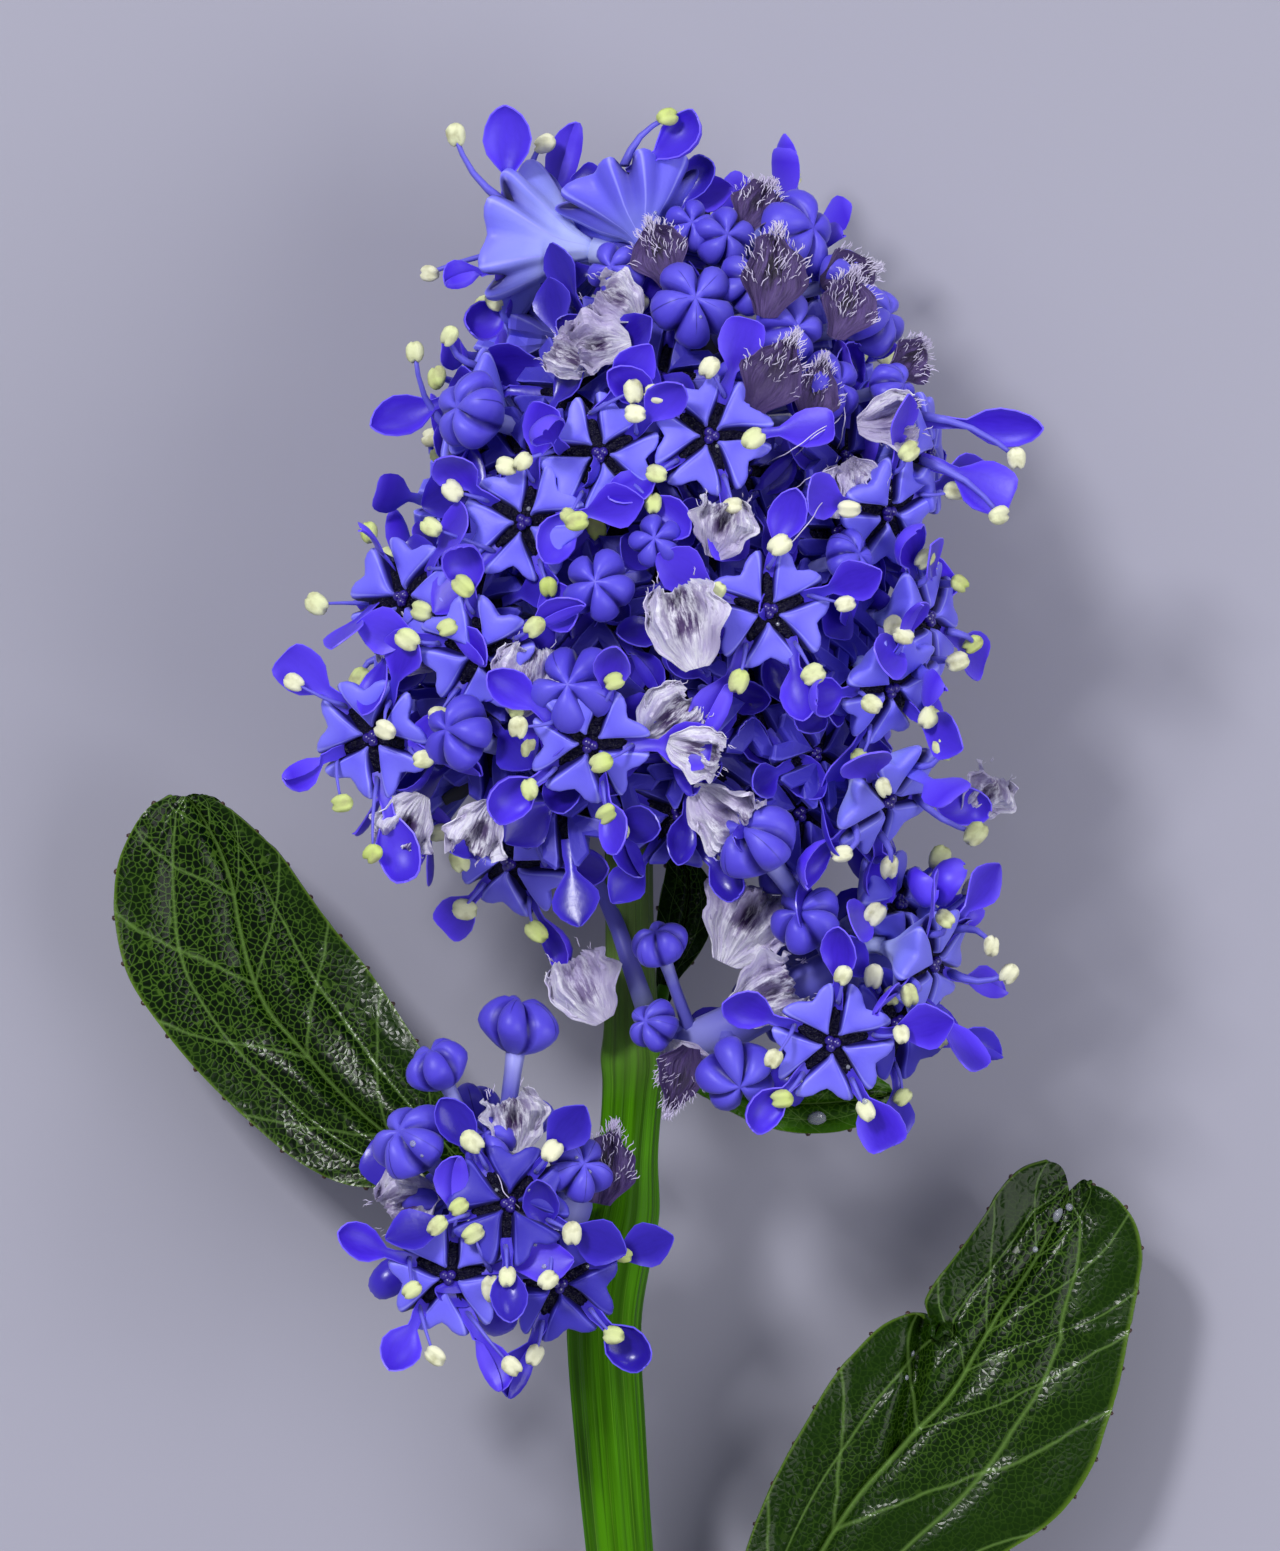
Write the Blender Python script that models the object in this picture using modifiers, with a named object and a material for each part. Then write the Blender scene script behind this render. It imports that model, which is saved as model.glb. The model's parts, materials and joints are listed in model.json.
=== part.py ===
"""A cut sprig of california lilac, lying on the blooms at the back of its head.

Metres. X runs across the sprig, Y along the stem towards its tip, and Z up, away from the surface
that the sprig lies on. The origin is the flat spot under the head, where its lowest bud is pressed
against that surface. A place on the sprig is given by the pixel of the photograph that shows it,
across and down, and by its height above the surface in millimetres.
"""
import math
import random

import bmesh
import bpy
from mathutils import Matrix, Vector

# Driving sizes
MM = 0.001
PIXEL = 0.025 * MM                  # the size of a pixel on the sprig: an open flower is 5.8 mm across
REST_PIXEL = (640.0, 760.0)         # the pixel that shows the sprig straight above the origin
BLADE = 0.6 * MM                    # thickness of every leaf, and depth of every petal
SEED = 7

# The stem, from its cut end to where it goes up into the head: across, down, height, radius in mm
STEM_PATH = (
    (648, 1862, 0.78, 0.84),
    (640, 1760, 1.65, 0.84),
    (630, 1650, 2.55, 0.85),
    (619, 1551, 3.30, 0.86),
    (609, 1430, 4.15, 0.92),
    (603, 1322, 4.85, 0.96),
    (612, 1245, 5.30, 1.02),
    (620, 1205, 5.50, 1.00),
    (627, 1150, 5.75, 0.78),
    (632, 1090, 6.00, 0.78),
    (634, 1055, 6.15, 0.88),
    (631, 1015, 6.30, 0.70),
    (629, 930, 6.60, 0.62),
    (628, 812, 7.00, 0.62),
)
STEM_RIDGES = 9
RIDGE_DEPTH = 0.10                  # of the stem's radius

# The head's hidden axis, with the sizes of the head round it in mm
HEAD_AXIS = (
    # across, down, height, half width, half depth, radius of the bare core
    (628, 800, 7.1, 8.0, 6.9, 1.2),
    (632, 735, 7.2, 8.5, 7.1, 3.4),
    (640, 600, 7.1, 8.2, 7.1, 3.9),
    (662, 430, 6.6, 7.5, 6.5, 3.4),
    (676, 300, 5.8, 5.5, 5.3, 2.5),
    (684, 190, 5.2, 3.4, 3.4, 1.2),
)
BRACT_SINK = 0.7                    # how far a bract lies below the flowers' discs, in mm
BLOOM_SHARE = 0.80                  # how far out a flower's disc stands, as a share of that width
HEAD_LEAN = 0.25                    # how far buds and bracts lean towards the head's tip
AXIS_STEPS = 6                      # points where a stalk can root, for each row of an axis
CORE_SIDES = 2                      # a curve's bevel resolution: 8 sides for the head's core

# A flower, in mm: the star of sepals, the cup under it, the petals and the stamens
LOBES = 5
LOBE_TURN = math.tau / LOBES
SEPAL_SPREAD = math.radians(21.0)   # from a sepal's middle to each of its outer corners
SEPAL_CORNER = (1.50, 0.05)         # from here on radius and height, down to the cup
SEPAL_NOTCH = (1.08, 0.18)
SEPAL_TIP = (0.42, 0.32)
CHANNEL = (0.66, -0.12)
DISC = (0.0, -0.10)
CUP = (0.80, -0.75)
CUP_DEPTH = 1.35
PETAL_ROOT = 0.40                   # from the flower's axis
CLAW_DROP = 0.25                    # the claw's height under the star
PETAL_LENGTH = 2.50
PETAL_TIP_DROP = 0.1
PETAL_STATIONS = (                  # out along the petal, half width, depth of the keel
    (1.05, 0.16, 0.25),
    (1.85, 0.58, 0.60),
)
STAMEN_ROOT = Vector((0.45, 0.0, 0.0))
STAMEN_LENGTH = 1.70
STAMEN_ASIDE = math.radians(4.0)    # a filament stands a little beside its petal
STAMEN_STATIONS = ((0.45, 0.14), (1.40, 0.26))
FLOWER_LIFTS = {
    # how far the petals and the stamens rise from the plane of the star, in degrees
    "open": (14.0, 38.0),
    "upright": (27.0, 62.0),
    "back": (20.0, None),
}
SIDEWAYS = 0.3                      # a flower closer to X than this turns its petals from Y
OPEN_FACING = 0.7                   # a flower that faces up by more than this is an open one
PEDICEL_RADIUS = 0.21
FOOT_DEPTH = 2.5                    # of an unplanted flower's or bud's foot under it
BUD_STATIONS = ((1.0, -0.25), (0.80, 0.50), (0.0, 0.85))      # radius and height
BUD_NECK = -0.95
BUD_GROOVE = 0.16
BRACT_LENGTH = 2.0
BRACT_STATIONS = ((0.7, 0.70, 0.15), (1.4, 0.60, 0.35))       # out, half width, rise of the edges
BRACT_TIP_RISE = 0.3
BRACT_HOLLOW = 0.1                  # how far a bract's middle lies below its edges
BRACT_FACING = (0.0, 0.1, 1.0)      # in the side clusters

# The flowers that the photograph shows: across, down, facing, turn of the petals in degrees
HEAD_FLOWERS = {
    "trumpet_top_left": (545, 245, (-0.85, 0.15, -0.30), 20),
    "back_turned_top": (652, 218, (0.15, 0.90, -0.20), 50),
    "ribbed_left": (470, 415, (-0.60, 0.30, 0.45), 10),
    "star_centre_left": (600, 458, (0.00, 0.10, 1.00), 30),
    "star_centre": (710, 440, (0.05, 0.10, 1.00), 0),
    "star_left": (525, 525, (-0.15, 0.05, 1.00), 5),
    "star_right": (768, 612, (0.08, -0.08, 1.00), 20),
    "oblique_left": (405, 600, (-0.50, 0.10, 0.80), 40),
    "flank_left": (375, 738, (-0.40, -0.15, 0.90), 62),
    "low_centre": (590, 745, (-0.05, -0.35, 0.93), 1),
    "side_top_right": (925, 455, (0.95, 0.10, 0.20), 30),
    "body_right": (885, 515, (0.55, -0.30, 0.60), 10),
    "side_right": (925, 620, (0.85, 0.00, 0.45), 55),
    "low_right": (888, 690, (0.55, -0.45, 0.60), 15),
    "hanging_right": (885, 800, (0.60, -0.55, 0.45), 40),
    "deep_left": (480, 655, (-0.30, -0.20, 0.90), 25),
}
HEAD_BUDS = {
    # across, down, size against the usual bud
    "five_lobed_top": (693, 310, 1.05),
    "five_lobed_low": (575, 690, 1.10),
    "shaded_left": (462, 735, 1.00),
    "top_right": (800, 240, 0.95),
    "top_small": (718, 240, 0.75),
    "right_shoulder": (868, 325, 0.90),
    "shoulder_inner": (785, 335, 0.85),
    "shoulder_low": (828, 390, 0.80),
    "shaded_centre": (600, 590, 0.90),
    "between_stars": (655, 545, 0.75),
    "under_star": (845, 560, 0.80),
}
HEAD_BRACTS = {
    # across, down, turn in degrees, size against the usual bract
    "silver_top": (590, 340, 200, 1.1),
    "lilac_top": (615, 295, 150, 1.0),
    "fuzzy_right": (880, 425, 5, 1.1),
    "papery_centre": (685, 620, 100, 1.35),
    "fringed": (695, 745, 270, 1.0),
    "pale_left": (530, 680, 60, 1.0),
    "dark_tip": (765, 272, 80, 1.1),
    "dark_right": (832, 300, 70, 1.0),
    "dark_inner": (768, 372, 20, 1.0),
    "brown_tip": (752, 215, 110, 0.9),
}

# The back of the head, which the photograph doesn't show: rows down the axis and flowers in each
BACK_ROWS = ((250, 2, 1), (370, 2, 2), (500, 3, 1), (625, 3, 2), (745, 3, 2))
BACK_ARC = (math.radians(195.0), math.radians(345.0))
BACK_PLACE = (0.3, 0.7)             # where a flower stands in its own stretch of the row
BACK_SHIFT = 12                     # how far it is moved off its row, in pixels
BACK_SIZES = (0.85, 0.98)
BACK_LEAN = 0.2                     # towards the head's tip
BACK_DIP = 0.75                     # how much of its turn towards the surface it keeps
LOW_CLEARANCE = 0.9                 # the lowest that a back flower's disc comes, in mm
REST_BUDS = {
    # across, down, height of the bud's middle: pressed flat against the surface
    "under_middle": (640, 760, 0.45),
    "under_left": (520, 470, 0.75),
    "under_right": (800, 480, 0.75),
}
REST_BUD_SIZE = 1.25
SLAB = 60.0 * MM                    # the block that cuts the sprig off flat at the surface

# The side clusters: the axis, the core's radius in mm, and the flowers, buds and bracts as in the
# head, but with their own heights
CLUSTERS = {
    "flower_cluster_right": {
        "axis": ((672, 1046, 7.9), (735, 1022, 8.2), (800, 985, 8.6), (850, 950, 8.8)),
        "core": 0.75,
        "flowers": {
            "star": (830, 1040, 10.6, (0.10, -0.25, 1.0), 10),
            "side": (930, 962, 9.3, (0.85, -0.30, 0.45), 30),
            "crumpled": (895, 1020, 9.0, (0.45, -0.25, 0.8), 50),
            "upper": (897, 902, 7.8, (0.70, 0.30, 0.5), 0),
            "under": (790, 985, 6.3, (0.20, -0.30, -0.9), 20),
            "back": (880, 950, 5.8, (0.60, 0.10, -0.75), 45),
        },
        "buds": {
            "pumpkin": (755, 842, 11.6, 1.15),
            "outer": (805, 920, 10.3, 0.95),
            "inner": (790, 872, 9.2, 0.85),
            "low": (735, 1070, 10.0, 1.05),
            "over_stem": (660, 945, 9.3, 0.75),
            "node": (655, 1025, 8.8, 0.70),
        },
        "bracts": {
            "papery_upper": (722, 945, 9.0, 60, 1.3),
            "papery_lower": (750, 1000, 9.4, 20, 1.1),
            "node_left": (603, 1008, 8.1, 120, 1.0),
            "node_right": (692, 1045, 9.0, 250, 0.8),
        },
        "hanging": (510, 862, 8.3, (-0.40, -0.50, 0.70), 15),
    },
    "flower_cluster_left": {
        "axis": ((585, 1208, 7.1), (540, 1195, 7.6), (490, 1180, 7.8), (455, 1200, 7.6)),
        "core": 0.70,
        "flowers": {
            "star": (450, 1272, 9.2, (-0.10, -0.15, 1.0), 155),
            "dark": (560, 1280, 8.7, (0.15, -0.35, 0.9), 30),
            "wet": (510, 1200, 9.6, (0.05, 0.05, 1.0), 50),
            "under": (470, 1216, 6.4, (-0.10, -0.20, -1.0), 0),
        },
        "buds": {
            "top": (520, 1025, 8.2, 1.05),
            "upper_left": (440, 1065, 8.6, 0.85),
            "star_bud": (415, 1140, 9.0, 1.05),
            "middle": (490, 1143, 8.9, 0.80),
            "small": (530, 1115, 8.0, 0.70),
            "by_stem": (578, 1168, 8.9, 0.90),
            "low_left": (425, 1202, 7.6, 0.80),
            "behind": (470, 1110, 6.4, 0.85),
        },
        "bracts": {
            "node": (606, 1200, 8.0, 80, 0.9),
            "inner": (520, 1142, 8.4, 100, 0.8),
        },
    },
}
HANGING_BEND = (630, 990, 8.3)      # where the stalk of the hanging flower turns
LONG_PEDICEL_RADIUS = 0.27
LONG_PEDICEL_ROOT = 0.3             # along the first stretch of the cluster's core
LONG_PEDICEL_END = 0.1              # how far it runs past its bend, into the flower's own stalk
CORE_TAPER = (0.8, 1.0, 1.0, 0.6)   # of a side cluster's core, at its rows
TWIG_SIDES = 1                      # its bevel resolution

# The leaves: the midrib from the petiole to the tip, as across, down and height in mm, and the
# widths on its left and its right along it, in pixels
LEAVES = {
    "leaf_left": {
        "midrib": ((588, 1200, 4.6), (505, 1192, 4.35), (410, 1150, 4.4), (325, 1075, 4.5),
                   (250, 985, 4.7), (195, 900, 4.3), (163, 830, 3.9), (152, 796, 3.7)),
        "left": (5, 7, 40, 88, 96, 84, 54, 6),
        "right": (5, 7, 62, 70, 72, 70, 52, 6),
        "stations": 23,
        "fold": 0.35,
    },
    "leaf_lower_right": {
        "midrib": ((686, 1832, 1.5), (722, 1765, 1.9), (770, 1680, 2.2), (835, 1580, 2.6),
                   (900, 1480, 2.9), (960, 1380, 3.0), (1015, 1285, 3.0), (1066, 1182, 2.8)),
        "left": (6, 8, 70, 108, 122, 104, 74, 34),
        "right": (6, 8, 58, 98, 132, 148, 126, 52),
        "stations": 27,
        "fold": 0.55,
    },
    "leaf_under_cluster": {
        "midrib": ((682, 1078, 5.6), (712, 1088, 5.5), (760, 1098, 5.4), (815, 1103, 5.3),
                   (865, 1100, 5.2), (898, 1092, 5.1)),
        "left": (4, 6, 30, 38, 28, 4),
        "right": (4, 6, 22, 28, 20, 4),
        "stations": 9,
        "fold": 0.2,
    },
    "leaf_behind_stem": {
        "midrib": ((652, 1022, 4.6), (664, 985, 4.3), (682, 930, 4.0), (688, 880, 3.8), (672, 842, 3.6)),
        "left": (4, 8, 26, 24, 4),
        "right": (4, 8, 24, 22, 4),
        "stations": 9,
        "fold": 0.15,
    },
}
LEAF_COLUMNS = 4                    # across a leaf, from edge to edge
TOOTH = 0.05                        # a margin tooth, as a share of the half width
PUCKER = 0.05                       # rise of the blade between its side veins, in mm
FULL_WIDTH = 3.0 * MM               # the half width at which a blade is folded all the way
MIDRIB_STEP = 0.02                  # along the midrib, for its direction

WELD = 0.002 * MM                   # points closer than this are one
FLOWER_BLUE = (0.10, 0.07, 0.55, 1.0)
FLOWER_ROUGHNESS = 0.5
STEM_GREEN = (0.08, 0.20, 0.015, 1.0)
STEM_ROUGHNESS = 0.4
LEAF_GREEN = (0.015, 0.06, 0.008, 1.0)
LEAF_ROUGHNESS = 0.25


def spot(across, down, height):
    """The place on the sprig of a pixel of the photograph, at a height in mm."""
    return Vector(((across - REST_PIXEL[0]) * PIXEL, (REST_PIXEL[1] - down) * PIXEL, height * MM))


def clear_scene():
    for thing in list(bpy.data.objects):
        bpy.data.objects.remove(thing, do_unlink=True)


def material(name, colour, roughness):
    made = bpy.data.materials.new(name)
    made.use_nodes = True
    shader = made.node_tree.nodes["Principled BSDF"]
    shader.inputs["Base Color"].default_value = colour
    shader.inputs["Roughness"].default_value = roughness
    shader.inputs["Metallic"].default_value = 0.0
    made.diffuse_color = colour
    return made


def finished(shape, name):
    """The mesh of a shape, in triangles that all face outwards."""
    bmesh.ops.triangulate(shape, faces=shape.faces)
    bmesh.ops.recalc_face_normals(shape, faces=shape.faces)
    made = bpy.data.meshes.new(name)
    shape.to_mesh(made)
    shape.free()
    return made


def polar(angle, radius, height):
    """A point round a flower's axis, its sizes in mm."""
    return Vector((radius * math.cos(angle), radius * math.sin(angle), height)) * MM


def grow(shape, face, rings, tip):
    """Extrudes a three-sided face through rings of three points and closes it in a tip."""
    for ring in rings:
        face = bmesh.ops.extrude_discrete_faces(shape, faces=[face])["faces"][0]
        verts = list(face.verts)
        shift = min(range(3), key=lambda turn: sum((verts[i].co - ring[(i + turn) % 3]).length
                                                   for i in range(3)))
        for i, vert in enumerate(verts):
            vert.co = ring[(i + shift) % 3]
    bmesh.ops.poke(shape, faces=[face])["verts"][0].co = tip


def petal_rings(turn, lift):
    """A clawed, boat-shaped petal, keel side down: its sections and its tip, turned about the axis."""
    spin = Matrix.Rotation(turn, 4, "Z")
    rings = []
    for out, half_width, depth in PETAL_STATIONS:
        x = PETAL_ROOT + out * math.cos(lift)
        z = out * math.sin(lift) - CLAW_DROP
        section = ((x, -half_width, z), (x, 0.0, z - depth), (x, half_width, z))
        rings.append([spin @ (Vector(point) * MM) for point in section])
    tip = Vector((PETAL_ROOT + PETAL_LENGTH * math.cos(lift), 0.0,
                  PETAL_LENGTH * math.sin(lift) - CLAW_DROP - PETAL_TIP_DROP))
    return rings, spin @ (tip * MM)


def stamen_rings(turn, lift):
    """A filament and its anther: two sections of three points and a tip, turned about the axis."""
    spin = Matrix.Rotation(turn, 4, "Z")
    direction = Vector((math.cos(lift), 0.0, math.sin(lift)))
    across = Vector((0.0, 1.0, 0.0))
    above = direction.cross(across)
    rings = []
    for out, radius in STAMEN_STATIONS:
        middle = STAMEN_ROOT + direction * out
        ring = []
        for corner in range(3):
            angle = corner * math.tau / 3
            aside = (across * math.cos(angle) + above * math.sin(angle)) * radius
            ring.append(spin @ ((middle + aside) * MM))
        rings.append(ring)
    return rings, spin @ ((STAMEN_ROOT + direction * STAMEN_LENGTH) * MM)


def stalk_ring(shape, height):
    """A section of a pedicel."""
    return [shape.verts.new(polar((lobe + 0.5) * LOBE_TURN, PEDICEL_RADIUS, height)) for lobe in range(LOBES)]


def flower_mesh(petal_lift, stamen_lift):
    """A star of five hooded sepals on its cup, with a petal and a stamen grown out of each channel.

    The mesh's first vertices are the foot of its pedicel, which plant() takes to what carries it.
    """
    shape = bmesh.new()
    foot = stalk_ring(shape, -FOOT_DEPTH)
    shape.faces.new(foot)
    neck = stalk_ring(shape, -CUP_DEPTH)
    middle = shape.verts.new(polar(0.0, *DISC))
    rim = []
    cup = []
    tips = []
    for lobe in range(LOBES):
        along = (lobe + 0.5) * LOBE_TURN
        rim.append(shape.verts.new(polar(along - SEPAL_SPREAD, *SEPAL_CORNER)))
        rim.append(shape.verts.new(polar(along, *SEPAL_NOTCH)))
        rim.append(shape.verts.new(polar(along + SEPAL_SPREAD, *SEPAL_CORNER)))
        rim.append(shape.verts.new(polar(along + LOBE_TURN / 2, *CHANNEL)))
        cup.append(shape.verts.new(polar(along, *CUP)))
        tips.append(shape.verts.new(polar(along, *SEPAL_TIP)))
    petal_roots = []
    stamen_roots = []
    for lobe in range(LOBES):
        near, notch, far, channel = rim[lobe * 4:lobe * 4 + 4]
        after = (lobe + 1) % LOBES
        next_near = rim[after * 4]
        shape.faces.new((near, notch, tips[lobe]))
        shape.faces.new((notch, far, tips[lobe]))
        shape.faces.new((far, channel, tips[lobe]))
        shape.faces.new((channel, next_near, tips[after]))
        shape.faces.new((tips[lobe], channel, middle))
        stamen_roots.append(shape.faces.new((channel, tips[after], middle)))
        shape.faces.new((notch, near, cup[lobe]))
        shape.faces.new((far, notch, cup[lobe]))
        shape.faces.new((channel, far, cup[lobe]))
        shape.faces.new((next_near, channel, cup[after]))
        petal_roots.append(shape.faces.new((channel, cup[lobe], cup[after])))
        shape.faces.new((cup[lobe], neck[lobe], neck[after], cup[after]))
        shape.faces.new((neck[lobe], foot[lobe], foot[after], neck[after]))
    bmesh.ops.recalc_face_normals(shape, faces=shape.faces)
    for lobe, root in enumerate(petal_roots):
        grow(shape, root, *petal_rings((lobe + 1) * LOBE_TURN, math.radians(petal_lift)))
    if stamen_lift:
        for lobe, root in enumerate(stamen_roots):
            turn = (lobe + 1) * LOBE_TURN + STAMEN_ASIDE
            grow(shape, root, *stamen_rings(turn, math.radians(stamen_lift)))
    return finished(shape, "flower")


def bud_mesh():
    """A fat bud of five lobes along +Z. Its first vertices are the foot of its pedicel."""
    shape = bmesh.new()
    foot = stalk_ring(shape, -FOOT_DEPTH)
    shape.faces.new(foot)
    neck = stalk_ring(shape, BUD_NECK)
    top = shape.verts.new(polar(0.0, *BUD_STATIONS[-1]))
    rings = []
    for radius, height in BUD_STATIONS[:-1]:
        ring = []
        for i in range(2 * LOBES):
            grooved = radius * (1.0 - BUD_GROOVE * (i % 2))
            ring.append(shape.verts.new(polar(i * LOBE_TURN / 2, grooved, height)))
        rings.append(ring)
    low, high = rings
    for lobe in range(LOBES):
        ridge, groove, after = 2 * lobe, 2 * lobe + 1, (2 * lobe + 2) % (2 * LOBES)
        shape.faces.new((foot[lobe - 1], foot[lobe], neck[lobe], neck[lobe - 1]))
        shape.faces.new((neck[lobe - 1], neck[lobe], low[ridge]))
        shape.faces.new((neck[lobe], low[groove], low[ridge]))
        shape.faces.new((neck[lobe], low[after], low[groove]))
        for here, there in ((ridge, groove), (groove, after)):
            shape.faces.new((low[here], low[there], high[there], high[here]))
            shape.faces.new((high[here], high[there], top))
    return finished(shape, "bud")


def bract_mesh():
    """A thick, pointed, hollowed scale along +X. Its first vertex is its root."""
    shape = bmesh.new()
    root = shape.verts.new((0.0, 0.0, -FOOT_DEPTH * MM))
    tip = shape.verts.new(Vector((BRACT_LENGTH, 0.0, BRACT_TIP_RISE)) * MM)
    rings = []
    for x, half_width, rise in BRACT_STATIONS:
        top = rise - BRACT_HOLLOW
        corners = ((x, -half_width, rise), (x, 0.0, top - BLADE / MM), (x, half_width, rise), (x, 0.0, top))
        rings.append([shape.verts.new(Vector(corner) * MM) for corner in corners])
    low, high = rings
    for i in range(4):
        j = (i + 1) % 4
        shape.faces.new((root, low[j], low[i]))
        shape.faces.new((low[i], low[j], high[j], high[i]))
        shape.faces.new((high[i], high[j], tip))
    return finished(shape, "bract")


def root_bract(collection, mesh, matrix, root):
    """One copy of a bract, its pointed root drawn down to what it grows from."""
    put(collection, mesh, matrix).data.vertices[0].co = root


def aim(place, facing, turn_degrees, size=1.0):
    """A matrix that stands a flower at a place, its axis along facing and its petals turned."""
    axis = Vector(facing).normalized()
    side = Vector((1.0, 0.0, 0.0)) - axis * axis.x
    if side.length < SIDEWAYS:
        side = Vector((0.0, 1.0, 0.0)) - axis * axis.y
    side.normalize()
    other = axis.cross(side)
    frame = Matrix((side, other, axis)).transposed().to_4x4()
    turn = Matrix.Rotation(math.radians(turn_degrees), 4, "Z")
    return Matrix.Translation(place) @ frame @ turn @ Matrix.Diagonal((size, size, size, 1.0))


def put(collection, mesh, matrix):
    """One copy of a shape, its place taken into its own mesh."""
    piece = bpy.data.objects.new(mesh.name, mesh.copy())
    piece.data.transform(matrix)
    collection.objects.link(piece)
    return piece


def plant(collection, mesh, matrix, root):
    """One copy of a flower or bud, with its foot drawn out to its root as a stalk."""
    piece = put(collection, mesh, matrix)
    down = -(matrix.to_3x3() @ Vector((0.0, 0.0, 1.0))).normalized()
    swing = down.rotation_difference(root - matrix.translation)
    foot = piece.data.vertices[:LOBES]
    middle = sum((vert.co for vert in foot), Vector()) / LOBES
    for vert in foot:
        vert.co = root + swing @ (vert.co - middle)


def path_curve(name, points, radii):
    """A curve through points, with its radius at each, still without a bevel."""
    curve = bpy.data.curves.new(name, "CURVE")
    curve.dimensions = "3D"
    curve.use_fill_caps = True
    spline = curve.splines.new("POLY")
    spline.points.add(len(points) - 1)
    for knot, point, radius in zip(spline.points, points, radii):
        knot.co = (*point, 1.0)
        knot.radius = radius
    return curve


def skinned(collection, curve):
    """A bevelled curve made a mesh, with its caps welded on."""
    bent = bpy.data.objects.new(curve.name, curve)
    bpy.context.scene.collection.objects.link(bent)
    skin = evaluated_mesh(bent)
    bpy.data.objects.remove(bent)
    shape = bmesh.new()
    shape.from_mesh(skin)
    bmesh.ops.remove_doubles(shape, verts=shape.verts, dist=WELD)
    bmesh.ops.triangulate(shape, faces=shape.faces)
    bmesh.ops.recalc_face_normals(shape, faces=shape.faces)
    shape.to_mesh(skin)
    shape.free()
    piece = bpy.data.objects.new(curve.name, skin)
    collection.objects.link(piece)
    return piece


def evaluated_mesh(thing):
    """The mesh of an object as its modifiers or its bevel leave it."""
    bpy.context.view_layer.update()
    return bpy.data.meshes.new_from_object(thing.evaluated_get(bpy.context.evaluated_depsgraph_get()))


def tube(collection, name, points, radii, resolution):
    """A stalk as a round bevelled curve, made a mesh."""
    curve = path_curve(name, points, radii)
    curve.bevel_depth = 1.0
    curve.bevel_resolution = resolution
    return skinned(collection, curve)


def keep_whole(mesh):
    """Drops loose scraps and fills sealed hollows: only the largest body stays."""
    shape = bmesh.new()
    shape.from_mesh(mesh)
    shape.faces.ensure_lookup_table()
    left = set(shape.faces)
    bodies = []
    while left:
        body = {left.pop()}
        front = list(body)
        while front:
            for edge in front.pop().edges:
                for face in edge.link_faces:
                    if face in left:
                        left.remove(face)
                        body.add(face)
                        front.append(face)
        bodies.append(body)
    bodies.sort(key=len)
    spare = [face for body in bodies[:-1] for face in body]
    bmesh.ops.delete(shape, geom=spare, context="FACES")
    shape.to_mesh(mesh)
    shape.free()


def fuse(name, core, repeats, home, look):
    """The node: its core joined with all its repeats in one Boolean union, and the repeats removed."""
    bpy.context.scene.collection.children.link(repeats)
    if core.name not in home.objects:
        home.objects.link(core)
    union = core.modifiers.new("union", "BOOLEAN")
    union.operation = "UNION"
    union.operand_type = "COLLECTION"
    union.collection = repeats
    union.solver = "MANIFOLD"
    joined = evaluated_mesh(core)
    core.modifiers.clear()
    keep_whole(joined)
    core.data = joined
    core.name = name
    joined.name = name
    joined.materials.clear()
    joined.materials.append(look)
    for piece in list(repeats.objects):
        bpy.data.objects.remove(piece)
    bpy.data.collections.remove(repeats)
    return core


def along_axis(axis, down):
    """The values of an axis at a pixel's height, between its own rows."""
    rows = sorted(axis, key=lambda row: row[1])
    if down <= rows[0][1]:
        return rows[0]
    for low, high in zip(rows, rows[1:]):
        if down <= high[1]:
            share = (down - low[1]) / (high[1] - low[1])
            return tuple(a + (b - a) * share for a, b in zip(low, high))
    return rows[-1]


def head_height(across, down):
    """How high a flower's disc stands on the front of the head, in mm."""
    middle, _, height, half_width, half_depth, _ = along_axis(HEAD_AXIS, down)
    out = (across - middle) * PIXEL / MM / half_width
    return height + BLOOM_SHARE * half_depth * math.sqrt(max(0.0, 1.0 - out * out))


def outward(across, down, height):
    """The direction away from the head's axis, leaning towards its tip."""
    middle, _, axis_height = along_axis(HEAD_AXIS, down)[:3]
    away = spot(across, down, height) - spot(middle, down, axis_height)
    return (away.normalized() + Vector((0.0, HEAD_LEAN, 0.0))).normalized()


def nearest_on(axis_points, place):
    """The nearest point of an axis, moved a little back towards its root."""
    best = min(range(len(axis_points)), key=lambda i: (axis_points[i] - place).length)
    return axis_points[max(best - 1, 1)]


def dense(points):
    """An axis with extra points between its own."""
    made = []
    for start, end in zip(points, points[1:]):
        made.extend(start.lerp(end, step / AXIS_STEPS) for step in range(AXIS_STEPS))
    made.append(points[-1])
    return made


def kind_of(facing):
    """A flower that looks up has its petals spread, and one seen from the side has them raised."""
    return "open" if facing[2] > OPEN_FACING else "upright"


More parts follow.
